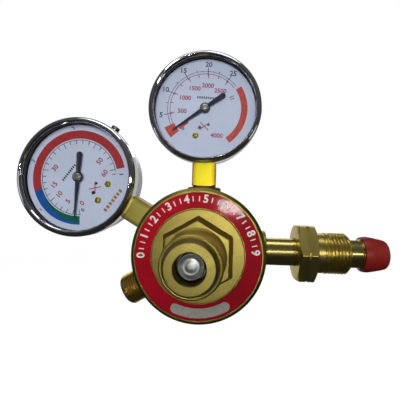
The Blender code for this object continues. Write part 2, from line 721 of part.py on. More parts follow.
def gauge_dial(prefix, hub, screws, stop_angle):
    """Printed dial on two lugs, with the screws that hold it and its stop pin."""
    holes = [circle(1.6, 12)]
    holes += [circle(1.3, 10, (x, SCREW_Z)) for x in screws]
    if stop_angle is not None:
        at = polar(STOP_PIN_AT, stop_angle)
        holes.append(circle(STOP_PIN_R + GAP, 8, at))
        cylinder(
            prefix + "_stop_pin", STOP_PIN_R, -DIAL_DEPTH - 1.2, 0.6 - POINTER_DEPTH, 8,
            look="steel", parent=hub, place=(at[0], 0, at[1]), turn=FORWARD,
        )
    plate(
        prefix + "_dial", [circle(DIAL_R, GAUGE)] + holes, -DIAL_DEPTH - DIAL_THICK, -DIAL_DEPTH,
        look="dial_white", parent=hub, turn=FORWARD,
    )
    seat = GAP - DIAL_DEPTH
    head = [
        (0, seat + 0.75), (1.1, seat + 0.5), (1.7, seat), (1.9, seat - GAP), (0.95, seat - GAP),
        (0.95, -12.5), (0, -12.5),
    ]
    for number, x in enumerate(screws, 1):
        turned(
            f"{prefix}_dial_screw_{number}", head, 12, look="bright_brass", parent=hub,
            place=(x, 0, SCREW_Z), turn=FORWARD,
        )


def gauge_socket(prefix, hub, reach):
    """Square brass socket: spanner block, threaded shank and the head inside the case."""
    shank_end = reach - PORT_DEPTH_END - GAP
    half = SOCKET_WIDTH / 2
    piece = box(
        prefix + "_socket", (-half, SOCKET_DEPTH - half, -SOCKET_END),
        (half, SOCKET_DEPTH + half, -SOCKET_START), look="bright_brass", parent=hub,
    )
    bevelled(piece, 0.9)
    neck = half - 0.7
    head = box(
        prefix + "_socket_head", (-neck, SOCKET_DEPTH - neck + 0.2, -31.5),
        (neck, SOCKET_DEPTH + neck - 1.2, -12.6), parent=hub,
    )
    combine(piece, head, "UNION")
    lug = box(
        prefix + "_socket_lug", (-neck, DIAL_DEPTH + 2.1, -18.6), (neck, SOCKET_DEPTH, -12.6),
        parent=hub,
    )
    combine(piece, lug, "UNION")
    down = dict(parent=hub, place=(0, SOCKET_DEPTH, 0), turn=(180, 0, 0))
    start = SOCKET_END - 1.2
    shank = [
        (0, shank_end), (SHANK_R - 0.9, shank_end), (SHANK_R, shank_end - 1.0), (SHANK_R, start),
        (0, start),
    ]
    combine(piece, turned(prefix + "_socket_shank", shank, MEDIUM, **down), "UNION")
    combine(piece, cylinder(prefix + "_socket_bore", 1.5, 18, 60, TINY, **down))
    for number, x in enumerate((-SCREW_X, SCREW_X), 1):
        hole = cylinder(
            f"{prefix}_socket_tapping_{number}", 1.25, -14, -8, TINY, parent=hub,
            place=(x, 0, SCREW_Z), turn=FORWARD,
        )
        combine(piece, hole)


def gauge_tube(prefix, hub):
    """C-shaped Bourdon tube from the socket head round to its moving tip."""
    outer = arc(TUBE_R + TUBE_THICK / 2, TUBE_LAST_ANGLE, TUBE_ROOT_ANGLE, MEDIUM)
    inner = arc(TUBE_R - TUBE_THICK / 2, TUBE_ROOT_ANGLE, TUBE_LAST_ANGLE, MEDIUM)
    plate(
        prefix + "_bourdon_tube", [outer + inner], -20.5, -13.0,
        look="bronze", parent=hub, turn=FORWARD,
    )
    x, z = polar(TUBE_R, TUBE_TIP_ANGLE)
    box(
        prefix + "_tube_tip", (-1.3, 18.0, -1.7), (1.3, 21.5, 1.7), look="brass", parent=hub,
        place=(x, 0, z), turn=(0, -TUBE_TIP_ANGLE, 0),
    )


def gauge_movement(prefix, hub):
    """Frame of two plates on pillars, toothed sector, link and hairspring."""
    span = [(-4.2, -12.3), (14.6, -12.3), (14.6, 4.2), (-4.2, 4.2)]
    outlines = [span, circle(0.8, 8), circle(0.8, 8, (SECTOR_X, SECTOR_Z))]
    frame = plate(
        prefix + "_movement_frame", outlines, -19.6, -18.6, look="brass", parent=hub, turn=FORWARD
    )
    front = plate(prefix + "_movement_front", outlines, -12.6, -11.6, parent=hub, turn=FORWARD)
    combine(frame, front, "UNION")
    for number, (x, z) in enumerate(((-2.9, 3.0), (-2.9, -9.2)), 1):
        pillar = cylinder(
            f"{prefix}_movement_pillar_{number}", 1.0, -19.0, -12.0, TINY,
            parent=hub, place=(x, 0, z), turn=FORWARD,
        )
        combine(frame, pillar, "UNION")
    heading = math.degrees(math.atan2(-SECTOR_Z, -SECTOR_X))
    sector_gear(prefix, hub, heading)
    link(prefix, hub, math.radians(180 + heading))
    spiral = [(*polar(1.2 + 0.04 * i, 30 * i), -13.4) for i in range(38)]
    wire(prefix + "_hairspring", spiral, 0.14, 0, look="spring_steel", parent=hub, turn=FORWARD)


def sector_gear(prefix, hub, heading):
    """Toothed sector on its own arbor, its teeth towards the pinion, with a tail lever."""
    pivot = add_empty(prefix + "_sector_pivot", hub, (SECTOR_X, 0, SECTOR_Z), (0, -heading, 0))
    rim = []
    for i in range(SECTOR_TEETH):
        rim.append(polar(SECTOR_R, SECTOR_FIRST + i * SECTOR_PITCH))
        rim.append(polar(SECTOR_R - TOOTH_DEPTH, SECTOR_FIRST + (i + 0.5) * SECTOR_PITCH))
    lever = [(-LEVER, 1.2), (-LEVER - 1.2, 0), (-LEVER, -1.2)]
    outline = rim + arc(2.0, 80, 125, 2) + lever + arc(2.0, 235, 290, 2)
    where = dict(parent=pivot, turn=FORWARD)
    piece = plate(prefix + "_sector_gear", [outline], -16.6, -15.6, look="brass", **where)
    combine(piece, cylinder(prefix + "_sector_arbor", 0.5, -19.3, -11.9, 8, **where), "UNION")


def link(prefix, hub, lever_angle):
    """Bar from the sector's lever to the tip of the Bourdon tube."""
    pin = Vector(polar(LEVER, math.degrees(lever_angle), (SECTOR_X, SECTOR_Z)))
    run = Vector(polar(TUBE_R, TUBE_TIP_ANGLE)) - pin
    slope = math.degrees(math.atan2(run.y, run.x))
    joint = add_empty(prefix + "_link_pivot", hub, (pin.x, 0, pin.y), (0, -slope, 0))
    length = run.length + 0.9
    bar = [(-0.8, -0.7), (length, -0.7), (length, 0.7), (-0.8, 0.7)]
    plate(prefix + "_link", [bar], -17.7, -16.9, look="brass", parent=joint, turn=FORWARD)


def gauge_pointer(prefix, hub, angle, look):
    """Pointer with its pressed hub and the pinion arbor that turns it, aimed by angle."""
    axis = add_empty(prefix + "_pointer_axis", hub, (0, 0, 0), (0, -angle, 0))
    where = dict(parent=axis, turn=FORWARD)
    tail = [(POINTER_TAIL + 1.7, 1.5)] + arc(1.5, 90, 270, 6, (POINTER_TAIL, 0))
    tip = [(POINTER_TIP - 1.1, -0.35), (POINTER_TIP, 0), (POINTER_TIP - 1.1, 0.35)]
    outline = (
        arc(POINTER_HUB_R, 20, 160, 7) + tail + [(POINTER_TAIL + 1.7, -1.5)]
        + arc(POINTER_HUB_R, 200, 340, 7) + tip
    )
    low = -POINTER_DEPTH - POINTER_THICK
    outlines = [outline, circle(0.85, 8)]
    plate(prefix + "_pointer", outlines, low, -POINTER_DEPTH, look=look, **where)
    top = GAP - POINTER_DEPTH + 1.05
    cap = [(0, top), (1.5, top - 0.1), (2.0, top - 0.55), (2.0, top - 1.05), (0, top - 1.05)]
    turned(prefix + "_pointer_hub", cap, SMALL, look="bright_brass", **where)
    arbor = [
        (0, -POINTER_DEPTH), (0.45, -POINTER_DEPTH), (0.45, -14.4), (PINION_R, -14.4), (PINION_R, -17.4),
        (0.45, -17.4), (0.45, -19.4), (0, -19.4),
    ]
    turned(prefix + "_pinion", arbor, 12, look="brass", **where)


def gauge(prefix, root, place, tilt, reach, settings):
    """One complete gauge, its own -Z pointing along the socket."""
    hub = add_empty(prefix + "_gauge", root, place, (0, -tilt, 0))
    gauge_shell(prefix, hub, settings["plug_angle"], settings["plug_look"])
    gauge_dial(prefix, hub, settings["screws"], settings["stop_angle"])
    gauge_socket(prefix, hub, reach)
    gauge_tube(prefix, hub)
    gauge_movement(prefix, hub)
    gauge_pointer(prefix, hub, settings["pointer_angle"], settings["pointer_look"])


def gauges(root):
    high = dict(
        plug_angle=214.2, plug_look="black", screws=(-SCREW_X,), stop_angle=223.0,
        pointer_angle=215.3, pointer_look="black",
    )
    station = SOCKET_DEPTH + HIGH_PORT_STATION
    gauge("high_pressure", root, (0, -station, GAUGE_REACH_TOP), 0, GAUGE_REACH_TOP, high)
    tilt = LEFT_GAUGE_ANGLE - 90
    low = dict(
        plug_angle=60.0 - tilt, plug_look="steel", screws=(-SCREW_X, SCREW_X), stop_angle=None,
        pointer_angle=-92.0 - tilt, pointer_look="black",
    )
    x, z = polar(GAUGE_REACH_LEFT, LEFT_GAUGE_ANGLE)
    station = SOCKET_DEPTH + LOW_PORT_STATION
    gauge("delivery", root, (x, -station, z), tilt, GAUGE_REACH_LEFT, low)


def settle_meshes():
    """Replace every modifier stack by its result and smooth the round surfaces."""
    bpy.context.view_layer.update()
    graph = bpy.context.evaluated_depsgraph_get()
    results = {}
    for obj in PARTS.objects:
        if obj.type == "MESH":
            results[obj.name] = bpy.data.meshes.new_from_object(obj.evaluated_get(graph))
    for name, mesh in results.items():
        obj = PARTS.objects[name]
        obj.modifiers.clear()
        obj.data = mesh
        mesh.shade_smooth()
        mesh.set_sharp_from_angle(angle=math.radians(35))


def build():
    root = add_empty(NAME, None, (-STEM_END, 0, 0))
    bonnet(root)
    label_ring(root)
    spring_button(root)
    main_spring(root)
    diaphragm_stack(root)
    valve(root)
    body(root)
    inlet_stem(root)
    inlet_filter(root)
    inlet_nut(root)
    dust_cap(root)
    outlet_nipple(root)
    gauges(root)
    settle_meshes()


build()
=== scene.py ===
"""Looks of a two-gauge welding gas regulator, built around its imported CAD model.

Every new piece is modelled in millimetres in a frame of its own, whose Z is the axis
that the piece is turned about, and is then placed in the row frame. A station is a
distance along that Z. Each piece keeps its own coordinates in the attribute "local",
which its material reads, so machining marks follow the shape.
"""
import math

import bmesh
import bpy
from mathutils import Matrix, Vector


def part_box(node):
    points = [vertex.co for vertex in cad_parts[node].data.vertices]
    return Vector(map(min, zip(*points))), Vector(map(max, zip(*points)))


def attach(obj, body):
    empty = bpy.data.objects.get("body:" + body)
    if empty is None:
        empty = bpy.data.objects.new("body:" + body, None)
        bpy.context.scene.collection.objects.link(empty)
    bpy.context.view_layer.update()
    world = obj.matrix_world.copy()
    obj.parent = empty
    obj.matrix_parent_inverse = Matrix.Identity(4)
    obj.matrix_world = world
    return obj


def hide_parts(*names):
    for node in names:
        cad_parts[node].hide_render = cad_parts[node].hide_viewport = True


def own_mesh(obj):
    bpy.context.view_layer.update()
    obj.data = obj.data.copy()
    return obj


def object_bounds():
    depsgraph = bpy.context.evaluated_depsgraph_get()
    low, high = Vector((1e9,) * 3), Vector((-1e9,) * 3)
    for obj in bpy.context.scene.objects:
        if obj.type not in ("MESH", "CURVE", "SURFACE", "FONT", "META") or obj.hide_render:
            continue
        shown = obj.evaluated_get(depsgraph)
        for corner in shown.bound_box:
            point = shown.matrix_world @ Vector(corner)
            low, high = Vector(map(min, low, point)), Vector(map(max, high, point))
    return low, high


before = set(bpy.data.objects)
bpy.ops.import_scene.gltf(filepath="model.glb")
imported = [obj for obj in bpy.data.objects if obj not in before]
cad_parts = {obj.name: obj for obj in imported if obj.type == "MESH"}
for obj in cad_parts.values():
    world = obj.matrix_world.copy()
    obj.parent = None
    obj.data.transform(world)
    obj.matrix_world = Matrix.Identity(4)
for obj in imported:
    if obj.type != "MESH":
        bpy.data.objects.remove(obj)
CAD_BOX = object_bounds()

MM = 0.001
FINE = 192                   # segments of the large round pieces
MEDIUM = 96
SMALL = 40

FRONT = Vector((0, -1, 0))
UP = Vector((0, 0, 1))
RIGHT = Vector((1, 0, 0))

# ---- places, from the frame


def middle(node):
    low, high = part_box(node)
    return (low + high) / 2


def frame_at(origin, along, up):
    """A frame with Z along one direction and Y as near to another as it can be."""
    z = Vector(along).normalized()
    y = (Vector(up) - Vector(up).dot(z) * z).normalized()
    turn = Matrix((y.cross(z), y, z)).transposed().to_4x4()
    return Matrix.Translation(origin) @ turn


def flat(vector):
    """The part of a vector in the plane across the regulator axis, at unit length."""
    return Vector((vector.x, 0, vector.z)).normalized()


AXIS = Vector((middle("bonnet").x, middle("inlet_stem").y, middle("bonnet").z))
REGULATOR = frame_at(AXIS, FRONT, UP)
INLET = frame_at(AXIS, RIGHT, UP)
OUTLET_MIDDLE = middle("outlet_nipple")
OUTLET = frame_at((AXIS.x, OUTLET_MIDDLE.y, AXIS.z), flat(OUTLET_MIDDLE - AXIS), UP)


def gauge_frame(prefix):
    """The gauge's bezel front and centre, with Y pointing away from its socket."""
    low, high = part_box(prefix + "_bezel")
    hub = (low + high) / 2
    return frame_at((hub.x, low.y, hub.z), FRONT, flat(hub - AXIS))


GAUGES = {prefix: gauge_frame(prefix) for prefix in ("high_pressure", "delivery")}


def station(value):
    """Where a row-frame Y lies along the regulator axis, in millimetres."""
    return (AXIS.y - value) / MM


def rightward(value):
    """Where a row-frame X lies to the right of the regulator axis, in millimetres."""
    return (value - AXIS.x) / MM


# Driving sizes in millimetres; outer ones that the CAD box already has are read from it
RIM_FRONT = 30.5
FLANGE_R = rightward(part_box("bonnet")[1].x)
FLANGE_BACK = 19.2
PLATEAU_FRONT = 31.2
PLATEAU_R = 22.6
HEX_TOP = 38.5
HEX_BASE_R = 19.7
HEX_TOP_R = 17.3
NECK_R = 12.4
COLLAR_R = 12.85
COLLAR_FRONT = 64.0
NOSE_R = 9.9
NOSE_FRONT = station(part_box("bonnet")[0].y)
SCREW_BORE_R = 6.15
BODY_R = 31.5
STEM_R = 7.7
STEM_END = rightward(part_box("inlet_stem")[1].x)
NUT_START, NUT_END = (rightward(corner.x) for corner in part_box("inlet_nut"))
CAP_START, CAP_END = (rightward(corner.x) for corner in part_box("dust_cap"))
OUTLET_END = 47.0
BEZEL_R = 31.8               # just inside the CAD bezel
BEZEL_LIP_R = 28.5
DIAL_DEPTH = 6.2
POINTER_DEPTH = 4.4
PLUG_ENDS = {"high_pressure": 32.2, "delivery": 34.2}
SOCKET_DEPTH = 16.5
SOCKET_HALF = 6.75
DIAL_SCREW_AT = -15.6        # height of the dial screws' row from the gauge's centre


# ---- mesh tools

def round_corners(points, closed, steps=4):
    """An outline whose corners are rounded by the radius some points give third."""
    out = []
    count = len(points)
    for i, point in enumerate(points):
        here = Vector(point[:2])
        radius = point[2] if len(point) > 2 else 0
        if not radius or (not closed and i in (0, count - 1)):
            out.append(here)
            continue
        back = Vector(points[i - 1][:2]) - here
        ahead = Vector(points[(i + 1) % count][:2]) - here
        half = back.angle(ahead) / 2
        reach = min(radius / math.tan(half), 0.48 * back.length, 0.48 * ahead.length)
        radius = reach * math.tan(half)
        centre = here + (back.normalized() + ahead.normalized()).normalized() * radius / math.sin(half)
        start = here + back.normalized() * reach - centre
        end = here + ahead.normalized() * reach - centre
        sweep = start.angle_signed(end)
        for step in range(steps + 1):
            turn = Matrix.Rotation(-sweep * step / steps, 2)
            out.append(centre + turn @ start)
    return [(max(0.0, p.x), p.y) for p in out]


def even_turns(count):
    return [math.tau * i / count for i in range(count)]


def lathe(points, turns=MEDIUM, shape=None, closed=False, steps=4):
    """A closed mesh turned about Z from (radius, station, corner radius) points. Turns are
    a count or a list of angles, and shape may change the radius at each angle."""
    if isinstance(turns, int):
        turns = even_turns(turns)
    bm = bmesh.new()
    rings = []
    for radius, level in round_corners(points, closed, steps):
        if radius < 1e-6:
            rings.append([bm.verts.new((0, 0, level))])
            continue
        ring = []
        for turn in turns:
            reach = shape(radius, level, turn) if shape else radius
            ring.append(bm.verts.new((reach * math.cos(turn), reach * math.sin(turn), level)))
        rings.append(ring)
    pairs = list(zip(rings, rings[1:]))
    if closed:
        pairs.append((rings[-1], rings[0]))
    for upper, lower in pairs:
        join_rings(bm, upper, lower)
    bmesh.ops.recalc_face_normals(bm, faces=bm.faces)
    return bm


def join_rings(bm, upper, lower):
    """Faces between two rings, either of which may be a single point."""
    count = max(len(upper), len(lower))
    for i in range(count):
        j = (i + 1) % count
        ends = [ring[k % len(ring)] for ring, k in ((upper, i), (upper, j), (lower, j), (lower, i))]
        face = list(dict.fromkeys(ends))
        if len(face) > 2:
            bm.faces.new(face)


def block(low, high, bevel=0.0, segments=3):
    bm = bmesh.new()
    bmesh.ops.create_cube(bm, size=1.0)
    bmesh.ops.scale(bm, vec=[b - a for a, b in zip(low, high)], verts=bm.verts)
    bmesh.ops.translate(bm, vec=[(a + b) / 2 for a, b in zip(low, high)], verts=bm.verts)
    if bevel:
        round_edges(bm, list(bm.edges), bevel, segments)
    return bm


def prism(corners, foot_r, top_r, start, end, spin=0.0, bevel=0.0):
    """A prism with one corner on +Y before it spins, its long edges rounded."""
    bm = bmesh.new()
    bmesh.ops.create_cone(
        bm, cap_ends=True, segments=corners, radius1=foot_r, radius2=top_r, depth=end - start
    )
    turn = Matrix.Rotation(math.radians(spin), 4, "Z")
    bmesh.ops.transform(bm, matrix=Matrix.Translation((0, 0, (start + end) / 2)) @ turn, verts=bm.verts)
    if bevel:
        long_edges = [e for e in bm.edges if abs(e.verts[0].co.z - e.verts[1].co.z) > 0.1]
        round_edges(bm, long_edges, bevel, 3)
    return bm


def round_edges(bm, edges, width, segments):
    bmesh.ops.bevel(
        bm, geom=edges, offset=width, offset_type="OFFSET", segments=segments,
        profile=0.5, affect="EDGES", clamp_overlap=True,
    )


def moved(bm, matrix):
    bmesh.ops.transform(bm, matrix=matrix, verts=bm.verts)
    return bm


def combined(first, second, operation="UNION"):
    """Boolean of two meshes, which it uses up."""
    objects = []
    for bm in (first, second):
        mesh = bpy.data.meshes.new("part")
        bm.to_mesh(mesh)
        bm.free()
        obj = bpy.data.objects.new("part", mesh)
        bpy.context.scene.collection.objects.link(obj)
        objects.append(obj)
    target, tool = objects
    modifier = target.modifiers.new("combine", "BOOLEAN")
    modifier.operation = operation
    modifier.solver = "EXACT"
    modifier.object = tool
    graph = bpy.context.evaluated_depsgraph_get()
    result = bmesh.new()
    result.from_mesh(bpy.data.meshes.new_from_object(target.evaluated_get(graph)))
    for obj in objects:
        bpy.data.objects.remove(obj, do_unlink=True)
    bmesh.ops.remove_doubles(result, verts=result.verts, dist=1e-5)
    return result


def cut(first, second):
    return combined(first, second, "DIFFERENCE")


def outline_plate(outlines, low, high, bevel=0.0):
    """A flat piece from outlines in its own XY plane; inner outlines are holes."""
    curve = bpy.data.curves.new("plate", "CURVE")
    curve.dimensions = "2D"
    curve.fill_mode = "BOTH"
    curve.extrude = (high - low) / 2 - bevel
    curve.bevel_depth = bevel
    curve.offset = -bevel
    curve.bevel_resolution = 1
    for outline in outlines:
        spline = curve.splines.new("POLY")
        spline.points.add(len(outline) - 1)
        for point, (x, y) in zip(spline.points, outline):
            point.co = (x, y, 0, 1)
        spline.use_cyclic_u = True
    return moved(curve_mesh(curve), Matrix.Translation((0, 0, (low + high) / 2)))


def curve_mesh(curve):
    obj = bpy.data.objects.new("curve", curve)
    bpy.context.scene.collection.objects.link(obj)
    bpy.context.view_layer.update()
    graph = bpy.context.evaluated_depsgraph_get()
    mesh = bpy.data.meshes.new_from_object(obj.evaluated_get(graph))
    bpy.data.objects.remove(obj, do_unlink=True)
    bm = bmesh.new()
    bm.from_mesh(mesh)
    bmesh.ops.remove_doubles(bm, verts=bm.verts, dist=1e-4)
    bmesh.ops.recalc_face_normals(bm, faces=bm.faces)
    return bm


def coil(radius, wire, start, end, turns):
    """A round wire wound on a cylinder, its end turns lying flat."""
    curve = bpy.data.curves.new("coil", "CURVE")
    curve.dimensions = "3D"
    curve.bevel_depth = wire
    curve.bevel_resolution = 4
    curve.use_fill_caps = True
    spline = curve.splines.new("POLY")
    count = int(turns * 24)
    spline.points.add(count)
    for i, point in enumerate(spline.points):
        t = i / count
        rise = min(1.0, max(0.0, (t * turns - 0.75) / (turns - 1.5)))
        x, y = polar(radius, 360 * turns * t)
        point.co = (x, y, start + (end - start) * rise, 1)
    return curve_mesh(curve)


def polar(radius, angle, centre=(0, 0)):
    turn = math.radians(angle)
    return (centre[0] + radius * math.cos(turn), centre[1] + radius * math.sin(turn))


def arc(radius, first, last, count, centre=(0, 0)):
    step = (last - first) / (count - 1)
    return [polar(radius, first + i * step, centre) for i in range(count)]


def ring_of(radius, count, centre=(0, 0)):
    return arc(radius, 0, 360 * (count - 1) / count, count, centre)


def sweep(radii, first, last, count):
    """Points of an arc whose radius changes evenly from one end to the other."""
    points = []
    for i in range(count):
        t = i / (count - 1)
        points.append(polar(radii[0] + (radii[1] - radii[0]) * t, first + (last - first) * t))
    return points


def box_corners(half_width, half_height, x=0.0):
    sides = ((-1, -1), (1, -1), (1, 1), (-1, 1))
    return [Vector((x + a * half_width, b * half_height)) for a, b in sides]


def add_mesh(name, bm, place, materials, body="regulator", sharp=32):
    """Place a mesh in the row frame, smooth it, and let it ride on its body."""
    mesh = bpy.data.meshes.new(name)
    bm.to_mesh(mesh)
    bm.free()
    local = mesh.attributes.new("local", "FLOAT_VECTOR", "POINT")
    coordinates = [value for vertex in mesh.vertices for value in vertex.co]
    local.data.foreach_set("vector", coordinates)
    mesh.transform(place @ Matrix.Scale(MM, 4))
    mesh.shade_smooth()
    mesh.set_sharp_from_angle(angle=math.radians(sharp))
    obj = bpy.data.objects.new(name, mesh)
    bpy.context.scene.collection.objects.link(obj)
    for material in materials:
        mesh.materials.append(material)
    normals = obj.modifiers.new("normals", "WEIGHTED_NORMAL")
    normals.keep_sharp = True
    normals.weight = 80
    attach(obj, body)
    return obj


def add_piece(node, finish, bm, place, look, body="regulator", sharp=32):
    """Let a finished mesh stand for a CAD node."""
    obj = add_mesh(f"{node}_{finish}", bm, place, [LOOK[look]], body, sharp)
    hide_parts(node)
    return obj


# ---- material tools

class Graph:
    """Short calls that build the nodes of one material or world."""

    def __init__(self, name, store=bpy.data.materials):
        self.owner = store.new(name)
        self.owner.use_nodes = True
        self.tree = self.owner.node_tree
        self.tree.nodes.clear()

    def node(self, kind, inputs=None, **settings):
        made = self.tree.nodes.new("ShaderNode" + kind)
        for key, value in settings.items():
            setattr(made, key, value)
        for key, value in (inputs or {}).items():
            self.put(made.inputs[key], value)
        return made

    def put(self, socket, value):
        if isinstance(value, bpy.types.NodeSocket):
            self.tree.links.new(value, socket)
        elif isinstance(value, (tuple, list)) and socket.type == "RGBA":
            socket.default_value = (*value[:3], 1.0)
        else:
            socket.default_value = value

    def math(self, operation, *values):
        return self.node("Math", dict(enumerate(values)), operation=operation).outputs[0]

    def local(self):
        """The piece's own coordinates in millimetres."""
        return self.node("Attribute", attribute_name="local").outputs["Vector"]

    def row(self):
        """Row-frame coordinates in millimetres, for a node carried over from the CAD."""
        place = self.node("TexCoord").outputs["Object"]
        return self.node("VectorMath", {0: place, 3: 1 / MM}, operation="SCALE").outputs[0]

    def radius(self, vector):
        """Distance from the piece's own axis."""
        across = self.node("VectorMath", {0: vector, 1: (1, 1, 0)}, operation="MULTIPLY").outputs[0]
        return self.node("VectorMath", {0: across}, operation="LENGTH").outputs["Value"]

    def turned(self, vector, spread=0.15):
        """Coordinates that hardly change round the axis: radius, station, a little angle."""
        x, y, z = self.node("SeparateXYZ", {0: vector}).outputs
        squares = [self.math("MULTIPLY", side, side) for side in (x, y)]
        radius = self.math("SQRT", self.math("ADD", *squares))
        angle = self.math("MULTIPLY", self.math("ARCTAN2", y, x), spread)
        return self.node("CombineXYZ", {0: radius, 1: z, 2: angle}).outputs[0]

    def noise(self, vector, scale, detail=3.0, roughness=0.55):
        inputs = {"Vector": vector, "Scale": scale, "Detail": detail, "Roughness": roughness}
        return self.node("TexNoise", inputs).outputs[0]

    def ramp(self, factor, stops):
        """A colour or grey ramp from (position, value) stops."""
        made = self.node("ValToRGB", {0: factor})
        ramp = made.color_ramp
        while len(ramp.elements) < len(stops):
            ramp.elements.new(0.5)
        for element, (position, value) in zip(ramp.elements, stops):
            colour = value if isinstance(value, (tuple, list)) else (value,) * 3
            element.position = position
            element.color = (*colour[:3], 1.0)
        return made.outputs[0]

    def tones(self, factor, colour, stops):
        """A ramp over shades of one colour, from (position, brightness) stops."""
        return self.ramp(factor, [(position, shade(colour, value)) for position, value in stops])

    def mix(self, factor, first, second):
        return self.node("Mix", {0: factor, 6: first, 7: second}, data_type="RGBA").outputs[2]

    def tint(self, tone, colour, factor, low, high, amount):
        """Turn a tone to a colour, by up to an amount, as the factor goes from low to high."""
        return self.mix(self.ramp(factor, [(low, 0.0), (high, amount)]), tone, colour)

    def bump(self, height, distance, strength=1.0, normal=None):
        """Distance is the depth in millimetres between height 0 and 1."""
        inputs = {"Height": height, "Distance": distance * MM, "Strength": strength}
        if normal is not None:
            inputs["Normal"] = normal
        return self.node("Bump", inputs).outputs[0]

    def edges(self, low=0.51, high=0.56):
        """1 on convex edges, 0 elsewhere."""
        pointed = self.node("NewGeometry").outputs["Pointiness"]
        return self.ramp(pointed, [(low, 0.0), (high, 1.0)])

    def finish(self, **inputs):
        """The Principled shader; keys are its socket names with _ for a space."""
        named = {key.replace("_", " "): value for key, value in inputs.items()}
        return self.output(self.node("BsdfPrincipled", named))

    def metal(self, tone, rough, normal, metallic=1.0):
        return self.finish(Base_Color=tone, Metallic=metallic, Roughness=rough, Normal=normal)

    def output(self, shader, kind="OutputMaterial"):
        self.node(kind, {0: shader.outputs[0]})
        return self.owner


def shade(colour, factor):
    return tuple(channel * factor for channel in colour)


def brass(name, colour, deep, roughness, marks=0.006, tarnish=0.35, own=True, flank=None):
    """Machined brass: turning marks, cloudy tarnish, brighter rubbed edges, and painted
    shade on the flanks past a half width."""
    g = Graph(name)
    place = g.local() if own else g.row()
    clouds = g.noise(place, 0.16, 4.0, 0.6)
    spots = g.noise(place, 0.9, 5.0, 0.65)
    tone = g.tones(clouds, colour, [(0.3, 0.86), (0.55, 1.0), (0.75, 1.12)])
    tone = g.tint(tone, deep, spots, 0.5, 0.78, tarnish)
    tone = g.mix(g.edges(), tone, shade(colour, 1.3))
    # Painted shade: past the half width the flanks are darkened towards the deep colour.
    if flank:
        side = g.math("ABSOLUTE", g.node("SeparateXYZ", {0: place}).outputs[0])
        tone = g.tint(tone, deep, g.math("DIVIDE", side, flank), 0.62, 0.95, 0.8)
    turned = g.turned(place, 0.02)
    coarse = g.noise(turned, 1.6, 2.0, 0.5)
    fine = g.noise(turned, 7.0, 3.0, 0.6)
    grain = g.noise(place, 5.0, 3.0, 0.6)
    spread = 0.35 if tarnish > 0.1 else 0.1
    rough = g.ramp(spots, [(0.25, roughness * (1 - spread / 2)), (0.7, roughness * (1 + spread))])
    height = g.math("ADD", g.math("MULTIPLY", coarse, 0.6), g.math("MULTIPLY", fine, 0.4))
    normal = g.bump(height, marks * 3, 0.8)
    normal = g.bump(grain, marks, 0.6, normal)
    return g.metal(tone, rough, normal)


def bonnet_brass(name, colour, deep, roughness):
    """Satin turned brass, with painted shade in the bore, at the flange edge, on the hexagon's flats
    and down the nose."""
    g = Graph(name)
    place = g.local()
    clouds = g.noise(place, 0.16, 4.0, 0.6)
    spots = g.noise(place, 0.9, 5.0, 0.65)
    tone = g.tones(clouds, colour, [(0.3, 0.88), (0.55, 1.0), (0.75, 1.1)])
    tone = g.tint(tone, deep, spots, 0.5, 0.8, 0.25)
    reach = g.math("DIVIDE", g.radius(place), FLANGE_R)
    bore, edge, step = (SCREW_BORE_R + 0.05) / FLANGE_R, 31.7 / FLANGE_R, 0.006
    # Painted shade: the bore is darkened.
    tone = g.mix(g.ramp(reach, [(bore, 0.9), (bore + step, 0.0)]), tone, shade(deep, 0.3))
    # Painted shade: the flange's outer edge is darkened.
    tone = g.tint(tone, shade(deep, 0.8), reach, edge, edge + step, 0.75)
    # Painted shade: the hexagon's flats and the nose are darkened, by station.
    level = g.math("DIVIDE", g.node("SeparateXYZ", {0: place}).outputs[2], NOSE_FRONT)
    stops = []
    for start, end in ((PLATEAU_FRONT, HEX_TOP), (COLLAR_FRONT, NOSE_FRONT)):
        for at, value in ((start + 0.1, 0.0), (start + 0.4, 0.8), (end - 0.4, 0.8), (end - 0.1, 0.0)):
            stops.append((at / NOSE_FRONT, value))
    tone = g.mix(g.ramp(level, stops), tone, shade(deep, 0.9))
    rings = g.noise(g.turned(place, 0.02), 5.0, 3.0, 0.6)
    grain = g.noise(place, 5.0, 3.0, 0.6)
    rough = g.ramp(spots, [(0.25, roughness * 0.85), (0.7, roughness * 1.25)])
    normal = g.bump(rings, 0.012, 0.8)
    normal = g.bump(grain, 0.005, 0.6, normal)
    return g.metal(tone, rough, normal)


def forged_brass(name, colour, deep):
    """Forged brass skin: fine blasted grain with darker clouds."""
    g = Graph(name)
    place = g.local()
    clouds = g.noise(place, 0.1, 4.0, 0.6)
    grain = g.noise(place, 2.6, 4.0, 0.7)
    tone = g.ramp(clouds, [(0.3, deep), (0.6, colour)])
    tone = g.tint(tone, shade(colour, 1.25), grain, 0.45, 0.75, 0.3)
    tone = g.mix(g.edges(), tone, shade(colour, 1.5))
    rough = g.ramp(grain, [(0.3, 0.36), (0.7, 0.5)])
    normal = g.bump(grain, 0.035, 0.7)
    return g.metal(tone, rough, normal)


def enamel(name, colour):
    """Printed crimson label under a clear gloss, with small specks."""
    g = Graph(name)
    place = g.local()
    clouds = g.noise(place, 0.12, 3.0)
    specks = g.noise(place, 3.2, 4.0, 0.7)
    tone = g.tones(clouds, colour, [(0.35, 0.82), (0.65, 1.12)])
    tone = g.tint(tone, shade(colour, 0.5), specks, 0.62, 0.74, 0.35)
    # Painted shade: the label darkens towards its lower right.
    x, y = g.node("SeparateXYZ", {0: place}).outputs[:2]
    fade = g.math("MULTIPLY_ADD", g.math("SUBTRACT", y, x), 0.011, 0.5)
    tone = g.mix(g.ramp(fade, [(0.1, 0.75), (0.95, 0.0)]), tone, shade(colour, 0.45))
    rough = g.ramp(specks, [(0.3, 0.45), (0.7, 0.6)])
    normal = g.bump(g.noise(place, 1.2, 2.0), 0.01, 0.5)
    return g.finish(
        Base_Color=tone, Roughness=rough, Normal=normal, Specular_IOR_Level=0.1,
        Coat_Weight=0.18, Coat_Roughness=0.07,
    )


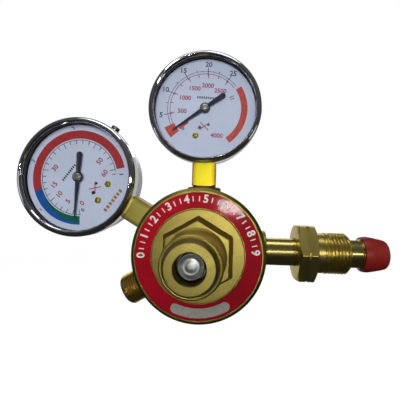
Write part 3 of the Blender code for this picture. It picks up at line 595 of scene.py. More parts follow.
def ink(name, colour, roughness=0.5):
    """Screen-printed ink, a little uneven."""
    g = Graph(name)
    place = g.local()
    patches = g.noise(place, 0.7, 3.0)
    tone = g.tones(patches, colour, [(0.35, 0.85), (0.65, 1.12)])
    rough = g.ramp(g.noise(place, 3.0), [(0.3, roughness * 0.85), (0.7, roughness * 1.15)])
    return g.finish(Base_Color=tone, Roughness=rough)


def chrome(name, colour, roughness=0.07):
    """Polished plating with faint circular wiping marks and smudges."""
    g = Graph(name)
    place = g.local()
    smudges = g.noise(place, 0.25, 4.0, 0.65)
    wipes = g.noise(g.turned(place, 0.6), 4.0, 3.0, 0.6)
    tone = g.tones(smudges, colour, [(0.3, 0.92), (0.7, 1.0)])
    rough = g.ramp(smudges, [(0.35, roughness * 0.6), (0.75, roughness * 1.9)])
    normal = g.bump(wipes, 0.004, 0.5)
    return g.metal(tone, rough, normal)


def steel(name, colour, roughness, marks=0.006, own=True, rim=None):
    """Turned steel: fine rings, a dull film in places, and painted shade darker towards a rim."""
    g = Graph(name)
    place = g.local() if own else g.row()
    film = g.noise(place, 0.5, 4.0, 0.6)
    rings = g.noise(g.turned(place, 0.2), 5.0, 3.0, 0.6)
    tone = g.tones(film, colour, [(0.3, 0.8), (0.7, 1.05)])
    tone = g.mix(g.edges(), tone, shade(colour, 1.25))
    # Painted shade: the steel darkens towards the rim.
    if rim:
        reach = g.math("DIVIDE", g.radius(place), rim)
        tone = g.tint(tone, shade(colour, 0.14), reach, 0.5, 0.92, 0.8)
    rough = g.ramp(film, [(0.3, roughness * 0.8), (0.7, roughness * 1.3)])
    normal = g.bump(rings, marks * 3, 0.8)
    return g.metal(tone, rough, normal)


def satin_case(name, colour):
    """Satin-plated sheet steel of the gauge cases: soft brushed sheen, light handling marks."""
    g = Graph(name)
    place = g.local()
    clouds = g.noise(place, 0.09, 4.0, 0.55)
    brushed = g.noise(g.turned(place, 2.0), 3.2, 4.0, 0.65)
    scuffs = g.noise(place, 1.1, 6.0, 0.75)
    tone = g.tones(clouds, colour, [(0.3, 0.84), (0.7, 1.08)])
    tone = g.tint(tone, shade(colour, 0.7), scuffs, 0.62, 0.75, 0.4)
    rough = g.ramp(brushed, [(0.3, 0.3), (0.7, 0.44)])
    normal = g.bump(brushed, 0.012, 0.6)
    return g.metal(tone, rough, normal, 0.9)


def dial_paint(name, colour):
    """Matt white dial enamel with a faint grain and a few dust specks."""
    g = Graph(name)
    place = g.local()
    clouds = g.noise(place, 0.07, 3.0)
    dust = g.noise(place, 4.5, 4.0, 0.7)
    tone = g.tones(clouds, colour, [(0.3, 0.95), (0.7, 1.03)])
    tone = g.tint(tone, shade(colour, 0.6), dust, 0.68, 0.78, 0.4)
    rough = g.ramp(dust, [(0.3, 0.42), (0.7, 0.55)])
    normal = g.bump(g.noise(place, 1.5, 2.0), 0.008, 0.5)
    return g.finish(Base_Color=tone, Roughness=rough, Normal=normal)


def window_glass(name):
    """Clear window: it lets light straight through and mirrors a little, more at a slant."""
    g = Graph(name)
    place = g.local()
    smears = g.noise(place, 0.12, 4.0, 0.6)
    rough = g.ramp(smears, [(0.4, 0.02), (0.8, 0.12)])
    clear = g.node("BsdfTransparent", {"Color": (0.93, 0.95, 1.0)})
    gloss = g.node("BsdfAnisotropic", {"Color": (1.0, 1.0, 1.0), "Roughness": rough})
    entering = g.math("SUBTRACT", 1.0, g.node("NewGeometry").outputs["Backfacing"])
    share = g.math("MULTIPLY", g.node("Fresnel", {"IOR": 1.46}).outputs[0], entering)
    return g.output(g.node("MixShader", {0: share, 1: clear.outputs[0], 2: gloss.outputs[0]}))


def dull_plastic(name, colour, roughness=0.5, bump=0.03, scuff=0.35, own=True):
    """Moulded plastic, rubber or matt paint: mottled, faintly scuffed, softly uneven."""
    g = Graph(name)
    place = g.local() if own else g.row()
    patches = g.noise(place, 0.35, 4.0, 0.6)
    grain = g.noise(place, 2.2, 4.0, 0.65)
    tone = g.tones(patches, colour, [(0.3, 0.82), (0.7, 1.15)])
    pale = tuple(min(1.0, channel * 1.2 + 0.06) for channel in colour)
    tone = g.tint(tone, pale, grain, 0.56, 0.72, scuff)
    tone = g.mix(g.edges(0.52, 0.6), tone, pale)
    rough = g.ramp(grain, [(0.3, roughness * 0.85), (0.7, roughness * 1.15)])
    normal = g.bump(grain, bump, 0.6)
    return g.finish(Base_Color=tone, Roughness=rough, Normal=normal)


def sintered(name, colour):
    """Porous bronze, as pressed beads."""
    g = Graph(name)
    place = g.row()
    beads = g.node("TexVoronoi", {"Vector": place, "Scale": 2.5}).outputs["Distance"]
    tone = g.tones(beads, colour, [(0.1, 1.2), (0.6, 0.5)])
    rough = g.ramp(beads, [(0.1, 0.4), (0.6, 0.75)])
    return g.metal(tone, rough, g.bump(beads, -0.05, 0.8), 0.9)


BRASS = (0.60, 0.49, 0.12)
BRASS_DEEP = (0.20, 0.14, 0.03)
LOOK = {
    "bonnet": bonnet_brass("machined_brass", BRASS, BRASS_DEEP, 0.40),
    "stem": brass("drawn_brass", (0.70, 0.57, 0.18), BRASS_DEEP, 0.22, 0.0002, 0.04),
    "nut": brass("nut_brass", (0.78, 0.63, 0.17), (0.2, 0.14, 0.04), 0.29, 0.0002, 0.1),
    "outlet": brass("outlet_brass", (0.85, 0.62, 0.17), (0.22, 0.13, 0.04), 0.3, 0.0005, 0.3),
    "body": forged_brass("forged_brass", (0.40, 0.33, 0.11), (0.22, 0.17, 0.05)),
    # The cylinder-pressure socket's brighter, more saturated brass is painted light; both sockets carry
    # painted shade on their flanks.
    "high_pressure_socket": brass(
        "bright_socket_brass", (0.94, 0.67, 0.03), (0.45, 0.25, 0.02), 0.36, 0.002, 0.15,
        flank=SOCKET_HALF,
    ),
    "delivery_socket": brass(
        "socket_brass", (0.66, 0.57, 0.13), (0.25, 0.19, 0.04), 0.36, 0.002, 0.15, flank=SOCKET_HALF,
    ),
    "hub": brass("hub_brass", (0.96, 0.90, 0.66), (0.4, 0.33, 0.2), 0.4, 0.001, 0.1),
    "screw": brass("screw_brass", (1.0, 0.80, 0.12), (0.3, 0.2, 0.03), 0.36, 0.002, 0.1),
    "label": enamel("crimson_label", (0.42, 0.004, 0.015)),
    # The window's grey is darkened to stand for the collar's shadow: painted shadow.
    "window": ink("label_window", (0.29, 0.28, 0.25), 0.45),
    "white": ink("white_print", (0.80, 0.74, 0.70)),
    "chrome": chrome("bezel_chrome", (0.76, 0.76, 0.79), 0.05),
    "case": satin_case("case_plating", (0.78, 0.79, 0.83)),
    "glass": window_glass("window_glass"),
    "dial": dial_paint("dial_enamel", (0.78, 0.80, 0.82)),
    "pointer": dull_plastic("pointer_paint", (0.018, 0.02, 0.03), 0.42, 0.006, 0.15),
    "pin": steel("pin_steel", (0.62, 0.62, 0.63), 0.25),
    # The button carries painted shade towards its rim.
    "button": steel("button_steel", (0.86, 0.88, 0.82), 0.42, 0.0005, rim=5.8),
    "spring": steel("spring_wire", (0.30, 0.30, 0.32), 0.32),
    "black": dull_plastic("black_rubber", (0.02, 0.02, 0.022), 0.6),
    "rubber": dull_plastic("diaphragm_rubber", (0.022, 0.021, 0.02), 0.7),
    "cap": dull_plastic("cap_plastic", (0.24, 0.012, 0.008), 0.42, 0.06, 0.1),
    "copper": brass("washer_copper", (0.52, 0.28, 0.15), (0.2, 0.1, 0.05), 0.35, 0.004, 0.4),
}
INK_COLOURS = {
    "red": (0.52, 0.04, 0.035),
    "orange_red": (0.70, 0.10, 0.06),
    "blue": (0.012, 0.105, 0.36),
    "green": (0.004, 0.145, 0.06),
    "black": (0.02, 0.02, 0.03),
    "grey": (0.10, 0.10, 0.14),
    "pink": (0.50, 0.07, 0.11),
    "gold": (0.46, 0.20, 0.03),
}
INK = {name: ink("ink_" + name, colour) for name, colour in INK_COLOURS.items()}
CARRIED = {
    "brass": brass("inner_brass", BRASS, BRASS_DEEP, 0.32, 0.004, 0.3, own=False),
    "steel": steel("inner_steel", (0.6, 0.6, 0.61), 0.25, 0.004, own=False),
    "spring_steel": steel("inner_wire", (0.32, 0.32, 0.34), 0.3, 0.002, own=False),
    "bronze": sintered("inner_bronze", (0.5, 0.3, 0.13)),
    "rubber": dull_plastic("inner_rubber", (0.022, 0.021, 0.02), 0.7, own=False),
}


# ---- regulator pieces

def hexagon_turns():
    """Angles for a turned hexagon with a corner on +Y: close together near each corner."""
    near = [-2.0, -1.1, -0.73, -0.37, 0.0, 0.37, 0.73, 1.1, 2.0]
    between = [4.0 + 2.0 * i for i in range(27)]
    degrees = [90 + 60 * side + step for side in range(6) for step in near + between]
    return [math.radians(value) for value in degrees]


def hexagon_reach(corner_r, turn, fillet=0.5):
    """Distance from the axis to a hexagon with rounded corners, one of them on +Y."""
    fold = (math.degrees(turn) - 90) % 60
    away = math.radians(min(fold, 60 - fold))
    centre = corner_r - fillet / math.sin(math.radians(60))
    limit = math.atan(fillet / 2 / (centre + fillet * math.cos(math.radians(30))))
    if away < limit:
        return centre * math.cos(away) + math.sqrt(fillet ** 2 - (centre * math.sin(away)) ** 2)
    return corner_r * math.cos(math.radians(30)) / math.cos(math.radians(30) - away)


def bonnet():
    """Front cover with its flange, label groove, hexagon and spring neck."""
    outline = [
        (SCREW_BORE_R + 0.4, NOSE_FRONT, 0.1), (NOSE_R, NOSE_FRONT, 0.35),
        (11.3, 64.4, 0.3), (11.55, 63.75, 0.2), (12.0, 64.05, 0.3), (12.55, 63.6, 0.4),
        (COLLAR_R, 62.7, 0.35), (COLLAR_R, 61.4, 0.4),
        (NECK_R, 59.9, 0.6), (NECK_R, 44.5, 3.0), (NECK_R + 0.9, 40.0, 1.0), (14.2, HEX_TOP, 0.3),
        (HEX_TOP_R, HEX_TOP, 0.35), (HEX_BASE_R, PLATEAU_FRONT), (PLATEAU_R, PLATEAU_FRONT, 0.3),
        (22.9, 29.9, 0.15), (31.1, 29.9, 0.05), (31.1, RIM_FRONT, 0.08), (31.65, RIM_FRONT, 0.1),
        (FLANGE_R, 28.6, 0.6), (FLANGE_R, FLANGE_BACK, 0.8), (29.6, FLANGE_BACK),
        (29.6, 26.0), (25.5, 26.0), (25.5, 27.4), (15.0, 27.8), (10.7, 33.0),
        (10.7, 55.5), (9.2, 57.0), (SCREW_BORE_R, 57.0),
    ]
    outline += [(SCREW_BORE_R, level) for level in levels(57.2, NOSE_FRONT - 0.6, 64)]

    groove = thread(0.0, 0.45, 1.5, 57.2, NOSE_FRONT, 1)

    def shape(radius, level, turn):
        if 15.0 < radius < 21.0 and level > PLATEAU_FRONT - 0.1:
            return hexagon_reach(radius, turn)
        if radius < SCREW_BORE_R + 0.01 and level > 57.1:
            return radius + groove(level, turn)
        return radius

    bm = lathe(outline, hexagon_turns(), shape, closed=True)
    add_piece("bonnet", "turned", bm, REGULATOR, "bonnet")


def label_ring():
    """Crimson ring, its pale window and the generic setting scale printed round it."""
    top = 30.3
    outline = [(23.2, top, 0.08), (31.0, top, 0.08), (31.0, 29.92), (23.2, 29.92)]
    bm = lathe(outline, FINE, closed=True, steps=2)
    add_piece("label_ring", "printed", bm, REGULATOR, "label")
    label_window(top)
    label_scale(top)


def label_window(top):
    """Blank pale window with round ends, low on the ring."""
    half = 2.3
    mid = 27.45
    first, last = -112.0, -60.0
    pill = arc(mid + half, first, last, 40)
    pill += arc(half, last, last + 180, 16, polar(mid, last))[1:-1]
    pill += arc(mid - half, last, first, 40)
    pill += arc(half, first + 180, first + 360, 16, polar(mid, first))[1:-1]
    bm = outline_plate([pill], top - 0.1, top + 0.06)
    add_mesh("label_window", bm, REGULATOR, [LOOK["window"]])


def label_scale(top):
    """Figures 0 to 9 with two ticks between neighbours."""
    marks = Print(top + 0.03)
    first, last, steps = 181.0, 5.0, 27
    for i in range(steps + 1):
        angle = first + (last - first) * i / steps
        if i % 3 == 0:
            marks.text(str(i // 3), 4.0, polar(27.9, angle), angle - 90, 0)
        else:
            marks.tick(26.6, 29.2, 0.5, angle, 0)
    add_mesh("label_scale", marks.bm, REGULATOR, [LOOK["white"]])


class Print:
    """Thin printed shapes gathered in one mesh, each with its ink's material index."""

    def __init__(self, level):
        self.level = level
        self.bm = bmesh.new()

    def polygon(self, points, index, lift=0.0):
        self.add(outline_plate([points], self.level + lift - 0.02, self.level + lift), index)

    def add(self, bm, index):
        mesh = bpy.data.meshes.new("print")
        for face in bm.faces:
            face.material_index = index
        bm.to_mesh(mesh)
        bm.free()
        self.bm.from_mesh(mesh)
        bpy.data.meshes.remove(mesh)

    def band(self, inner, outer, first, last, index, lift=0.0):
        """Inner and outer are radii, or (at first, at last) pairs."""
        count = max(3, int(abs(last - first) / 1.5))
        inner = inner if isinstance(inner, tuple) else (inner, inner)
        outer = outer if isinstance(outer, tuple) else (outer, outer)
        points = sweep(outer, first, last, count) + sweep(inner, first, last, count)[::-1]
        self.polygon(points, index, lift)

    def tick(self, inner, outer, width, angle, index, lift=0.0):
        along = Vector(polar(1, angle))
        across = Vector((-along.y, along.x)) * width / 2
        near, far = along * inner, along * outer
        self.polygon([near - across, far - across, far + across, near + across], index, lift)

    def dashes(self, middle_at, turn, count, pitch, width, height, index):
        """A straight row of plain upright blocks."""
        spin = Matrix.Rotation(math.radians(turn), 2)
        for i in range(count):
            x = (i - (count - 1) / 2) * pitch
            corners = box_corners(width / 2, height / 2, x)
            self.polygon([Vector(middle_at) + spin @ corner for corner in corners], index)

    def text(self, words, height, place, turn, index):
        """Upright digits of a height, centred at a place and turned."""
        curve = bpy.data.curves.new("digits", "FONT")
        curve.body = words
        curve.align_x = "CENTER"
        curve.align_y = "CENTER"
        curve.size = height / 0.72
        curve.resolution_u = 3
        curve.offset = 0.035 * height
        curve.extrude = 0.01
        at = Matrix.Translation((*place, self.level - 0.01))
        self.add(moved(curve_mesh(curve), at @ Matrix.Rotation(math.radians(turn), 4, "Z")), index)


def spring_button():
    """Dished button on the main spring, seen down the bonnet's bore."""
    top = 56.7
    outline = [
        (0, 61.05), (1.6, 60.95, 2.0), (3.4, 60.5, 0.9), (4.75, 62.2, 0.3), (5.15, 62.2, 0.2),
        (5.5, 61.6, 0.3), (5.5, top), (8.3, top, 0.1),
        (10.2, top - 1.9, 0.2), (10.2, top - 2.6, 0.2),
        (6.6, top - 2.6), (6.6, top - 5.0, 0.4), (0, top - 5.0),
    ]
    add_piece("spring_button", "turned", lathe(outline), REGULATOR, "button", "button")


def coil_spring(node, radius, wire, turns):
    """A coil as long as the node it stands for."""
    foot, head = (station(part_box(node)[i].y) for i in (1, 0))
    bm = coil(radius, wire, foot + wire, head - wire, turns)
    return add_piece(node, "coil", bm, REGULATOR, "spring")


def springs():
    """The two coils, each with a mesh of its own."""
    main = coil_spring("main_spring", 8.45, 1.4, 5.5)
    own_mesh(main)
    small = coil_spring("poppet_spring", 3.3, 0.45, 4)
    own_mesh(small)


def diaphragm():
    """Rubber sheet with a moulded bead, with a mesh of its own."""
    low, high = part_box("diaphragm")
    front, back = station(low.y), station(high.y)
    outline = [
        (0, front), (27.0, front, 0.2), (27.6, front - 0.25, 0.2), (29.2, front - 0.25, 0.3),
        (29.2, back, 0.3), (0, back),
    ]
    sheet = add_piece("diaphragm", "sheet", lathe(outline), REGULATOR, "rubber")
    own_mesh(sheet)


def rear_plug():
    """Hexagon-headed plug at the back, its head tapering a little."""
    outline = [
        (0, -10.9), (7.2, -10.9, 0.4), (7.2, -16.4), (9.0, -17.6, 0.2), (9.0, -18.0),
        (10.2, -18.2, 0.2), (10.55, -18.6, 0.2), (9.75, -22.1, 0.2), (8.3, -22.5, 0.2), (0, -22.5),
    ]

    def shape(radius, level, turn):
        if level > -18.05:
            return radius
        return min(radius, hexagon_reach(10.6 + (level + 17.6) * 0.2, turn, 0.3))

    add_piece("rear_plug", "turned", lathe(outline, hexagon_turns(), shape), REGULATOR, "nut")


def rear_gasket():
    """Copper washer under the rear plug's head."""
    washer = [(9.5, -16.3, 0.2), (11.4, -16.3, 0.3), (11.4, -17.3, 0.3), (9.5, -17.3, 0.2)]
    add_piece("rear_gasket", "ring", lathe(washer, closed=True), REGULATOR, "copper")


def body():
    """Forged body with flared bosses, cut by its ports."""
    outline = [
        (23.0, 22.8, 0.2), (29.3, 22.8, 0.3), (29.3, 18.9, 0.3), (BODY_R, 18.9, 0.6),
        (BODY_R, -9.0, 2.5), (BODY_R - 1.6, -11.6, 1.5), (24.0, -16.0, 1.5), (7.5, -16.0, 0.3),
        (7.5, 2.0), (4.3, 2.0), (4.3, 5.5), (23.0, 5.5, 0.6),
    ]
    made = lathe(outline, FINE, closed=True)
    # Heading, station, boss radius and end, socket radius and floor, passage radius and inner end
    ports = [
        (0, 0.0, 11.5, 35.8, 8.0, 24.5, 3.2, 5.0),
        (90, -3.7, 9.8, 35.7, 6.7, 24.2, 2.0, 5.0),
        (150, 7.6, 9.8, 32.2, 6.7, 24.2, 2.0, 20.0),
        (210, 7.6, 10.6, 35.0, 8.03, 24.5, 2.0, 20.0),
    ]
    for angle, level, radius, end, *_ in ports:
        boss = [(0, end), (radius, end, 0.7), (radius, BODY_R, 1.5), (radius + 1.0, 27.0), (0, 27.0)]
        made = combined(made, moved(lathe(boss, 64), port_matrix(angle, level)))
    for angle, level, radius, end, socket, floor, way, inner in ports:
        bore = [(0, end + 5), (socket, end + 5), (socket, floor), (way, floor), (way, inner), (0, inner)]
        made = cut(made, moved(lathe(bore, 48), port_matrix(angle, level)))
    add_piece("body", "forging", made, REGULATOR, "body")


def port_matrix(angle, level):
    """A port's axis in the regulator's own frame, where Y is up and Z is forward."""
    return frame_at((0, 0, level), (*polar(1, angle), 0), UP)


# ---- inlet and outlet

def thread(root, crest, pitch, start, end, hand):
    """Radius of a thread at a level and angle: flat crests, run out at its start."""
    def reach(level, turn):
        phase = (level / pitch + hand * turn / math.tau) % 1.0
        valley = min(1.0, max(0.0, (abs(2 * phase - 1) - 0.18) / 0.62))
        fade = min(1.0, max(0.0, (level - start) / pitch)) if level < end else 1.0
        return crest - (crest - root) * valley * fade
    return reach


def levels(start, end, count):
    return [start + (end - start) * i / count for i in range(count + 1)]


def thread_run(crest, chamfer, end, start, count):
    """Outline points from a thread's chamfered end back along its crests."""
    foot = crest - chamfer
    rows = levels(end - 0.2, start, count)
    return [(foot, end, 0.2)] + [(min(crest, foot + (end - level)), level) for level in rows]


def inlet_stem():
    """Tube with a bull nose, which seats in the cylinder valve."""
    outline = [
        (4.2, STEM_END, 0.2), (5.6, STEM_END, 0.8), (6.9, 98.3, 1.5), (7.95, 95.6, 2.0),
        (8.5, 92.6, 0.8), (8.5, 88.6, 0.4), (STEM_R, 88.2, 0.3), (STEM_R, 24.8, 0.2),
        (2.4, 24.8), (2.4, 91.5), (4.2, 91.5),
    ]
    add_piece("inlet_stem", "turned", lathe(outline, closed=True), INLET, "stem")


def inlet_nut():
    """Union nut: notched, chamfered hexagon and a left-hand thread, cut as geometry."""
    across = 30.0
    corner = across / 2 / math.cos(math.radians(30))
    hex_end = 62.8
    notch = (NUT_START + hex_end) / 2
    bore = STEM_R + 0.3
    slope = 1.55
    edge, clear = across / 2 - 0.3, corner + 0.4
    envelope = [
        (bore, hex_end), (edge, hex_end), (clear, hex_end - slope), (clear, notch + 1.3),
        (16.2, notch, 0.1), (clear, notch - 1.3), (clear, NUT_START + slope),
        (edge, NUT_START), (bore, NUT_START, 0.2),
    ]
    hexagon = prism(6, corner, corner, NUT_START - 1, hex_end + 1, 90, 0.35)
    hexagon = combined(hexagon, lathe(envelope, 144, closed=True), "INTERSECT")
    crest = 11.45
    wave = thread(10.35, crest, 1.814, 68.9, NUT_END, -1)
    shaft = [(bore, NUT_END, 0.2)] + thread_run(crest, 1.7, NUT_END, 68.6, 130)
    shaft += [(crest - 0.75, 68.2, 0.2), (crest - 0.75, 67.7, 0.3), (crest - 0.25, 67.2, 0.3)]
    shaft += [(crest - 0.25, hex_end - 0.6), (bore, hex_end - 0.6)]

    def shape(radius, level, turn):
        return min(radius, wave(level, turn)) if radius > 9.0 and level > 68.5 else radius

    made = combined(hexagon, lathe(shaft, MEDIUM, shape, closed=True))
    add_piece("inlet_nut", "threaded", made, INLET, "nut", "union_nut", 28)


def dust_cap():
    """Soft cap, a little out of round, with a rolled lip and a moulding mark on its end."""
    outline = [
        (0, CAP_END - 0.35), (1.6, CAP_END - 0.3), (2.2, CAP_END - 0.05, 0.3),
        (5.9, CAP_END - 0.05, 1.6), (8.0, 102.2, 2.2), (8.7, 99.8, 2.5), (9.55, 95.8, 8.0),
        (10.1, 92.4, 3.0), (10.0, 90.2, 1.0), (9.55, CAP_START, 0.6), (8.8, CAP_START, 0.2),
        (8.8, 94.0), (7.3, 100.3), (6.7, 101.3), (0, 101.3),
    ]
    mark_r = 2.5

    def shape(radius, level, turn):
        if radius < mark_r:
            return radius
        wobble = 0.10 * math.cos(2 * turn + 0.6) + 0.05 * math.cos(3 * turn + 0.12 * level)
        return radius + wobble * (radius - mark_r) / 7.5 - 0.1

    bm = lathe(outline, MEDIUM, shape, steps=6)
    add_piece("dust_cap", "moulded", bm, INLET, "cap", "cap", 50)


def outlet_nipple():
    """Threaded stub that takes the hose union."""
    crest = 8.33
    wave = thread(7.5, crest, 1.337, 37.2, OUTLET_END, 1)
    outline = [(3.8, OUTLET_END - 0.6, 0.2), (4.6, OUTLET_END, 0.2)]
    outline += thread_run(crest, 1.4, OUTLET_END, 37.0, 100)
    outline += [(crest - 0.8, 36.4, 0.2), (crest - 0.6, 24.8), (3.8, 24.8)]

    def shape(radius, level, turn):
        return min(radius, wave(level, turn)) if radius > 6.8 and level > 36.9 else radius

    bm = lathe(outline, MEDIUM, shape, closed=True)
    add_piece("outlet_nipple", "threaded", bm, OUTLET, "outlet", sharp=28)


# ---- gauges

def gauge_case(prefix, place):
    """Spun case with a raised ring on its back and a square hole for the socket."""
    inner, back = 29.1, -28.0
    case = [
        (0, -27.2), (27.0, -27.2, 1.5), (inner, -25.2, 0.8), (inner, -9.5, 0.3), (30.2, -8.4, 0.2),
        (30.2, -6.5), (31.0, -6.5), (31.0, -8.8, 0.4), (29.9, -9.9, 0.3), (29.9, -25.5, 1.8),
        (27.4, back, 1.2), (22.0, back, 0.3), (21.6, back + 0.25, 0.3), (20.6, back + 0.25, 0.3),
        (20.2, back, 0.3), (0, back),
    ]
    half = 6.35
    hole = block((-half, -44.2, -SOCKET_DEPTH - half), (half, -20, -SOCKET_DEPTH + half))
    bm = cut(lathe(case, FINE), hole)
    add_piece(prefix + "_case", "spun", bm, place, "case")


def gauge_bezel(prefix, place):
    """Rolled chrome bezel whose lip folds over the window."""
    inner = BEZEL_R - 0.6
    bezel = [
        (BEZEL_LIP_R, -1.25, 0.1), (BEZEL_LIP_R, -0.95, 0.15), (28.95, -0.3, 0.3), (29.55, 0, 0.18),
        (30.6, -0.42, 1.4), (31.45, -1.25, 1.4), (BEZEL_R, -2.7, 1.6), (BEZEL_R, -8.6, 0.4),
        (BEZEL_R - 0.35, -9.5, 0.2), (inner, -9.4, 0.1), (inner, -2.0, 0.3), (30.7, -1.25, 0.1),
    ]
    bm = lathe(bezel, FINE, closed=True)
    add_piece(prefix + "_bezel", "rolled", bm, place, "chrome")


def gauge_lens(prefix, place):
    """Flat window with eased edges."""
    lens = [(0, -1.55), (30.5, -1.55, 0.25), (30.5, -2.75, 0.25), (0, -2.75)]
    add_piece(prefix + "_lens", "ground", lathe(lens, FINE), place, "glass")


def case_plug(prefix, place, angle, look, slotted):
    """Small plug in the case wall, with a screwdriver slot on the steel one."""
    seat = frame_at((0, 0, -13.6), (*polar(1, angle), 0), UP)
    end = PLUG_ENDS[prefix]
    outline = [
        (0, end), (1.5, end - 0.05, 0.4), (2.3, end - 0.4, 0.3), (2.4, end - 0.8, 0.3),
        (2.4, 30.2, 0.1), (1.3, 30.2), (1.3, 27.6, 0.2), (0, 27.6),
    ]
    bm = lathe(outline, SMALL)
    if slotted:
        bm = cut(bm, block((-3, -0.32, end - 0.7), (3, 0.32, 35)))
    add_piece(prefix + "_case_plug", "turned", moved(bm, seat), place, look)


def gauge_dial(prefix, place, screws, stop_angle):
    """Dial plate, its domed screws and, on one gauge, the pointer's stop pin."""
    holes = [ring_of(1.6, 32)] + [ring_of(1.3, 24, (x, DIAL_SCREW_AT)) for x in screws]
    if stop_angle is not None:
        at = polar(17.0, stop_angle)
        holes.append(ring_of(0.8, 16, at))
        stop_pin(prefix, place, at)
    bm = outline_plate([ring_of(28.6, FINE)] + holes, -DIAL_DEPTH - 0.6, -DIAL_DEPTH, 0.08)
    add_piece(prefix + "_dial", "plate", bm, place, "dial")
    for number, x in enumerate(screws, 1):
        dial_screw(prefix, place, number, x)


def stop_pin(prefix, place, at):
    """Pin through the dial that stops the pointer below zero."""
    pin = lathe([(0, -3.8), (0.5, -3.8, 0.2), (0.5, -7.4), (0, -7.4)], 24)
    pin = moved(pin, Matrix.Translation((*at, 0)))
    add_piece(prefix + "_stop_pin", "turned", pin, place, "pin")


def dial_screw(prefix, place, number, x):
    """Domed brass screw whose slot stands at its own angle."""
    outline = [
        (0, -5.16), (0.9, -5.3, 0.6), (1.6, -5.75, 0.3), (1.85, -6.15, 0.1), (0.95, -6.2),
        (0.95, -12.5), (0, -12.5),
    ]
    notch = moved(block((-2.5, -0.2, -5.65), (2.5, 0.2, -5)), Matrix.Rotation(0.6 * number, 4, "Z"))
    bm = moved(cut(lathe(outline, SMALL), notch), Matrix.Translation((x, DIAL_SCREW_AT, 0)))
    add_piece(f"{prefix}_dial_screw_{number}", "domed", bm, place, "screw")


def gauge_socket(prefix, place):
    """Square spanner block with chamfered ends, its shank and the head in the case."""
    half, depth = SOCKET_HALF, SOCKET_DEPTH
    reach = Vector((AXIS.x - place.translation.x, 0, AXIS.z - place.translation.z)).length / MM
    end = reach - 24.8
    bm = block((-half, -44.2, -depth - half), (half, -30.2, -depth + half), 0.55, 3)
    envelope = [(0, -29), (9.9, -29), (9.9, -42.8, 0.1), (6.9, -44.2, 0.1), (0, -44.2)]
    down = Matrix.Translation((0, 0, -depth)) @ Matrix.Rotation(math.radians(-90), 4, "X")
    bm = combined(bm, moved(lathe(envelope, 64), down), "INTERSECT")
    neck = 6.05
    head = block((-neck, -31.5, -depth - neck + 1.2), (neck, -12.6, -depth + neck - 0.2), 0.2, 1)
    bm = combined(bm, head)
    bm = combined(bm, block((-neck, -18.6, -depth), (neck, -12.6, -8.3), 0.2, 1))
    shank = [(0, -43), (6.4, -43), (6.4, -end + 1.0, 0.2), (5.5, -end, 0.2), (0, -end)]
    bm = combined(bm, moved(lathe(shank, 48), down))
    bore = [(0, -18), (1.5, -18), (1.5, -60), (0, -60)]
    bm = cut(bm, moved(lathe(bore, 24), down))
    for x in (-5.1, 5.1):
        tapping = lathe([(0, -8), (1.25, -8), (1.25, -14), (0, -14)], 24)
        bm = cut(bm, moved(tapping, Matrix.Translation((x, DIAL_SCREW_AT, 0))))
    add_piece(prefix + "_socket", "machined", bm, place, prefix + "_socket")


def gauge_pointer(prefix, place, angle):
    """Bevelled pointer and its pressed brass hub, turned about the gauge's axis."""
    needle = (
        arc(2.9, 22, 158, 16) + [(-9.5, 1.35)] + arc(1.5, 90, 270, 16, (-12.2, 0)) + [(-9.5, -1.35)]
        + arc(2.9, 202, 338, 16) + [(21.5, -0.32), (22.5, -0.05), (22.5, 0.05), (21.5, 0.32)]
    )
    turn = Matrix.Rotation(math.radians(angle), 4, "Z")
    bm = outline_plate([needle, ring_of(0.85, 24)], -POINTER_DEPTH - 0.4, -POINTER_DEPTH, 0.06)
    rides = prefix + "_needle"
    add_piece(prefix + "_pointer", "painted", moved(bm, turn), place, "pointer", rides)
    cap = [(0, -3.06), (1.3, -3.14, 0.5), (1.95, -3.55, 0.3), (2.0, -4.1), (0, -4.1)]
    add_piece(prefix + "_pointer_hub", "pressed", lathe(cap, SMALL), place, "hub", rides)


def high_pressure_print(place):
    """Two scales, the red sector and the zero block of the cylinder-pressure dial."""
    inks = ["grey", "pink", "orange_red", "red"]
    marks = Print(-DIAL_DEPTH + 0.03)
    marks.band(21.4, 21.68, 206.0, 37.0, 0)
    marks.band(19.95, 20.3, 206.0, 37.0, 1)
    first, last = 189.0, 52.6
    for i in range(9):
        angle = first - (first - last) / 4 * i / 2
        major = i % 2 == 0
        marks.tick(21.6, 23.8 if major else 22.8, 0.4, angle, 0)
        marks.tick(17.6 if major else 18.4, 20.1, 0.42, angle - 1.5, 1)
        if major:
            marks.tick(19.0, 21.6, 0.4, angle, 0, 0.01)
            marks.text(str(5 + 5 * (i // 2)), 2.9, polar(25.5, angle), -3.5, 0)
            marks.text(str(500 * (i // 2 + 1)), 2.5, polar(13.2, angle - 2), -3.5, 1)
    marks.band(20.4, 24.0, 32.7, -54.0, 2)
    marks.band(19.4, 25.6, 205.9, 221.7, 2)
    marks.tick(12.3, 18.6, 1.6, 218.5, 2)
    marks.text("4000", 2.5, polar(17.0, -66.0), -3.5, 1)
    generic_marks(marks, (0.6, 6.2), (-0.2, -10.2), -3.5, 0, 3)
    marks.tick(15.0, 17.6, 0.5, 25.0, 0)
    marks.tick(15.0, 17.6, 0.5, 20.5, 1)
    add_mesh("high_pressure_dial_print", marks.bm, place, [INK[name] for name in inks])


def generic_marks(marks, rule_at, sign_at, turn, dark, red):
    """A row of plain dashes and a small cross, where the dial would carry its wording."""
    spin = Matrix.Rotation(math.radians(turn), 2)

    def along(at, points):
        return [Vector(at) + spin @ Vector(point) for point in points]

    marks.dashes(rule_at, turn, 9, 1.25, 0.75, 1.3, dark)
    marks.polygon(along(sign_at, [(-3.8, -1.4), (-2.2, -1.9), (-1.4, -0.4), (-3.0, 0.2)]), dark)
    marks.polygon(along(sign_at, [(1.4, 0.6), (2.8, 0.2), (3.1, 1.5), (1.7, 1.9)]), dark)
    for slope in (40, 140):
        arm = Matrix.Rotation(math.radians(slope), 2)
        bar = [arm @ corner for corner in box_corners(3.3, 0.24)]
        marks.polygon(along(sign_at, bar), red, 0.01)


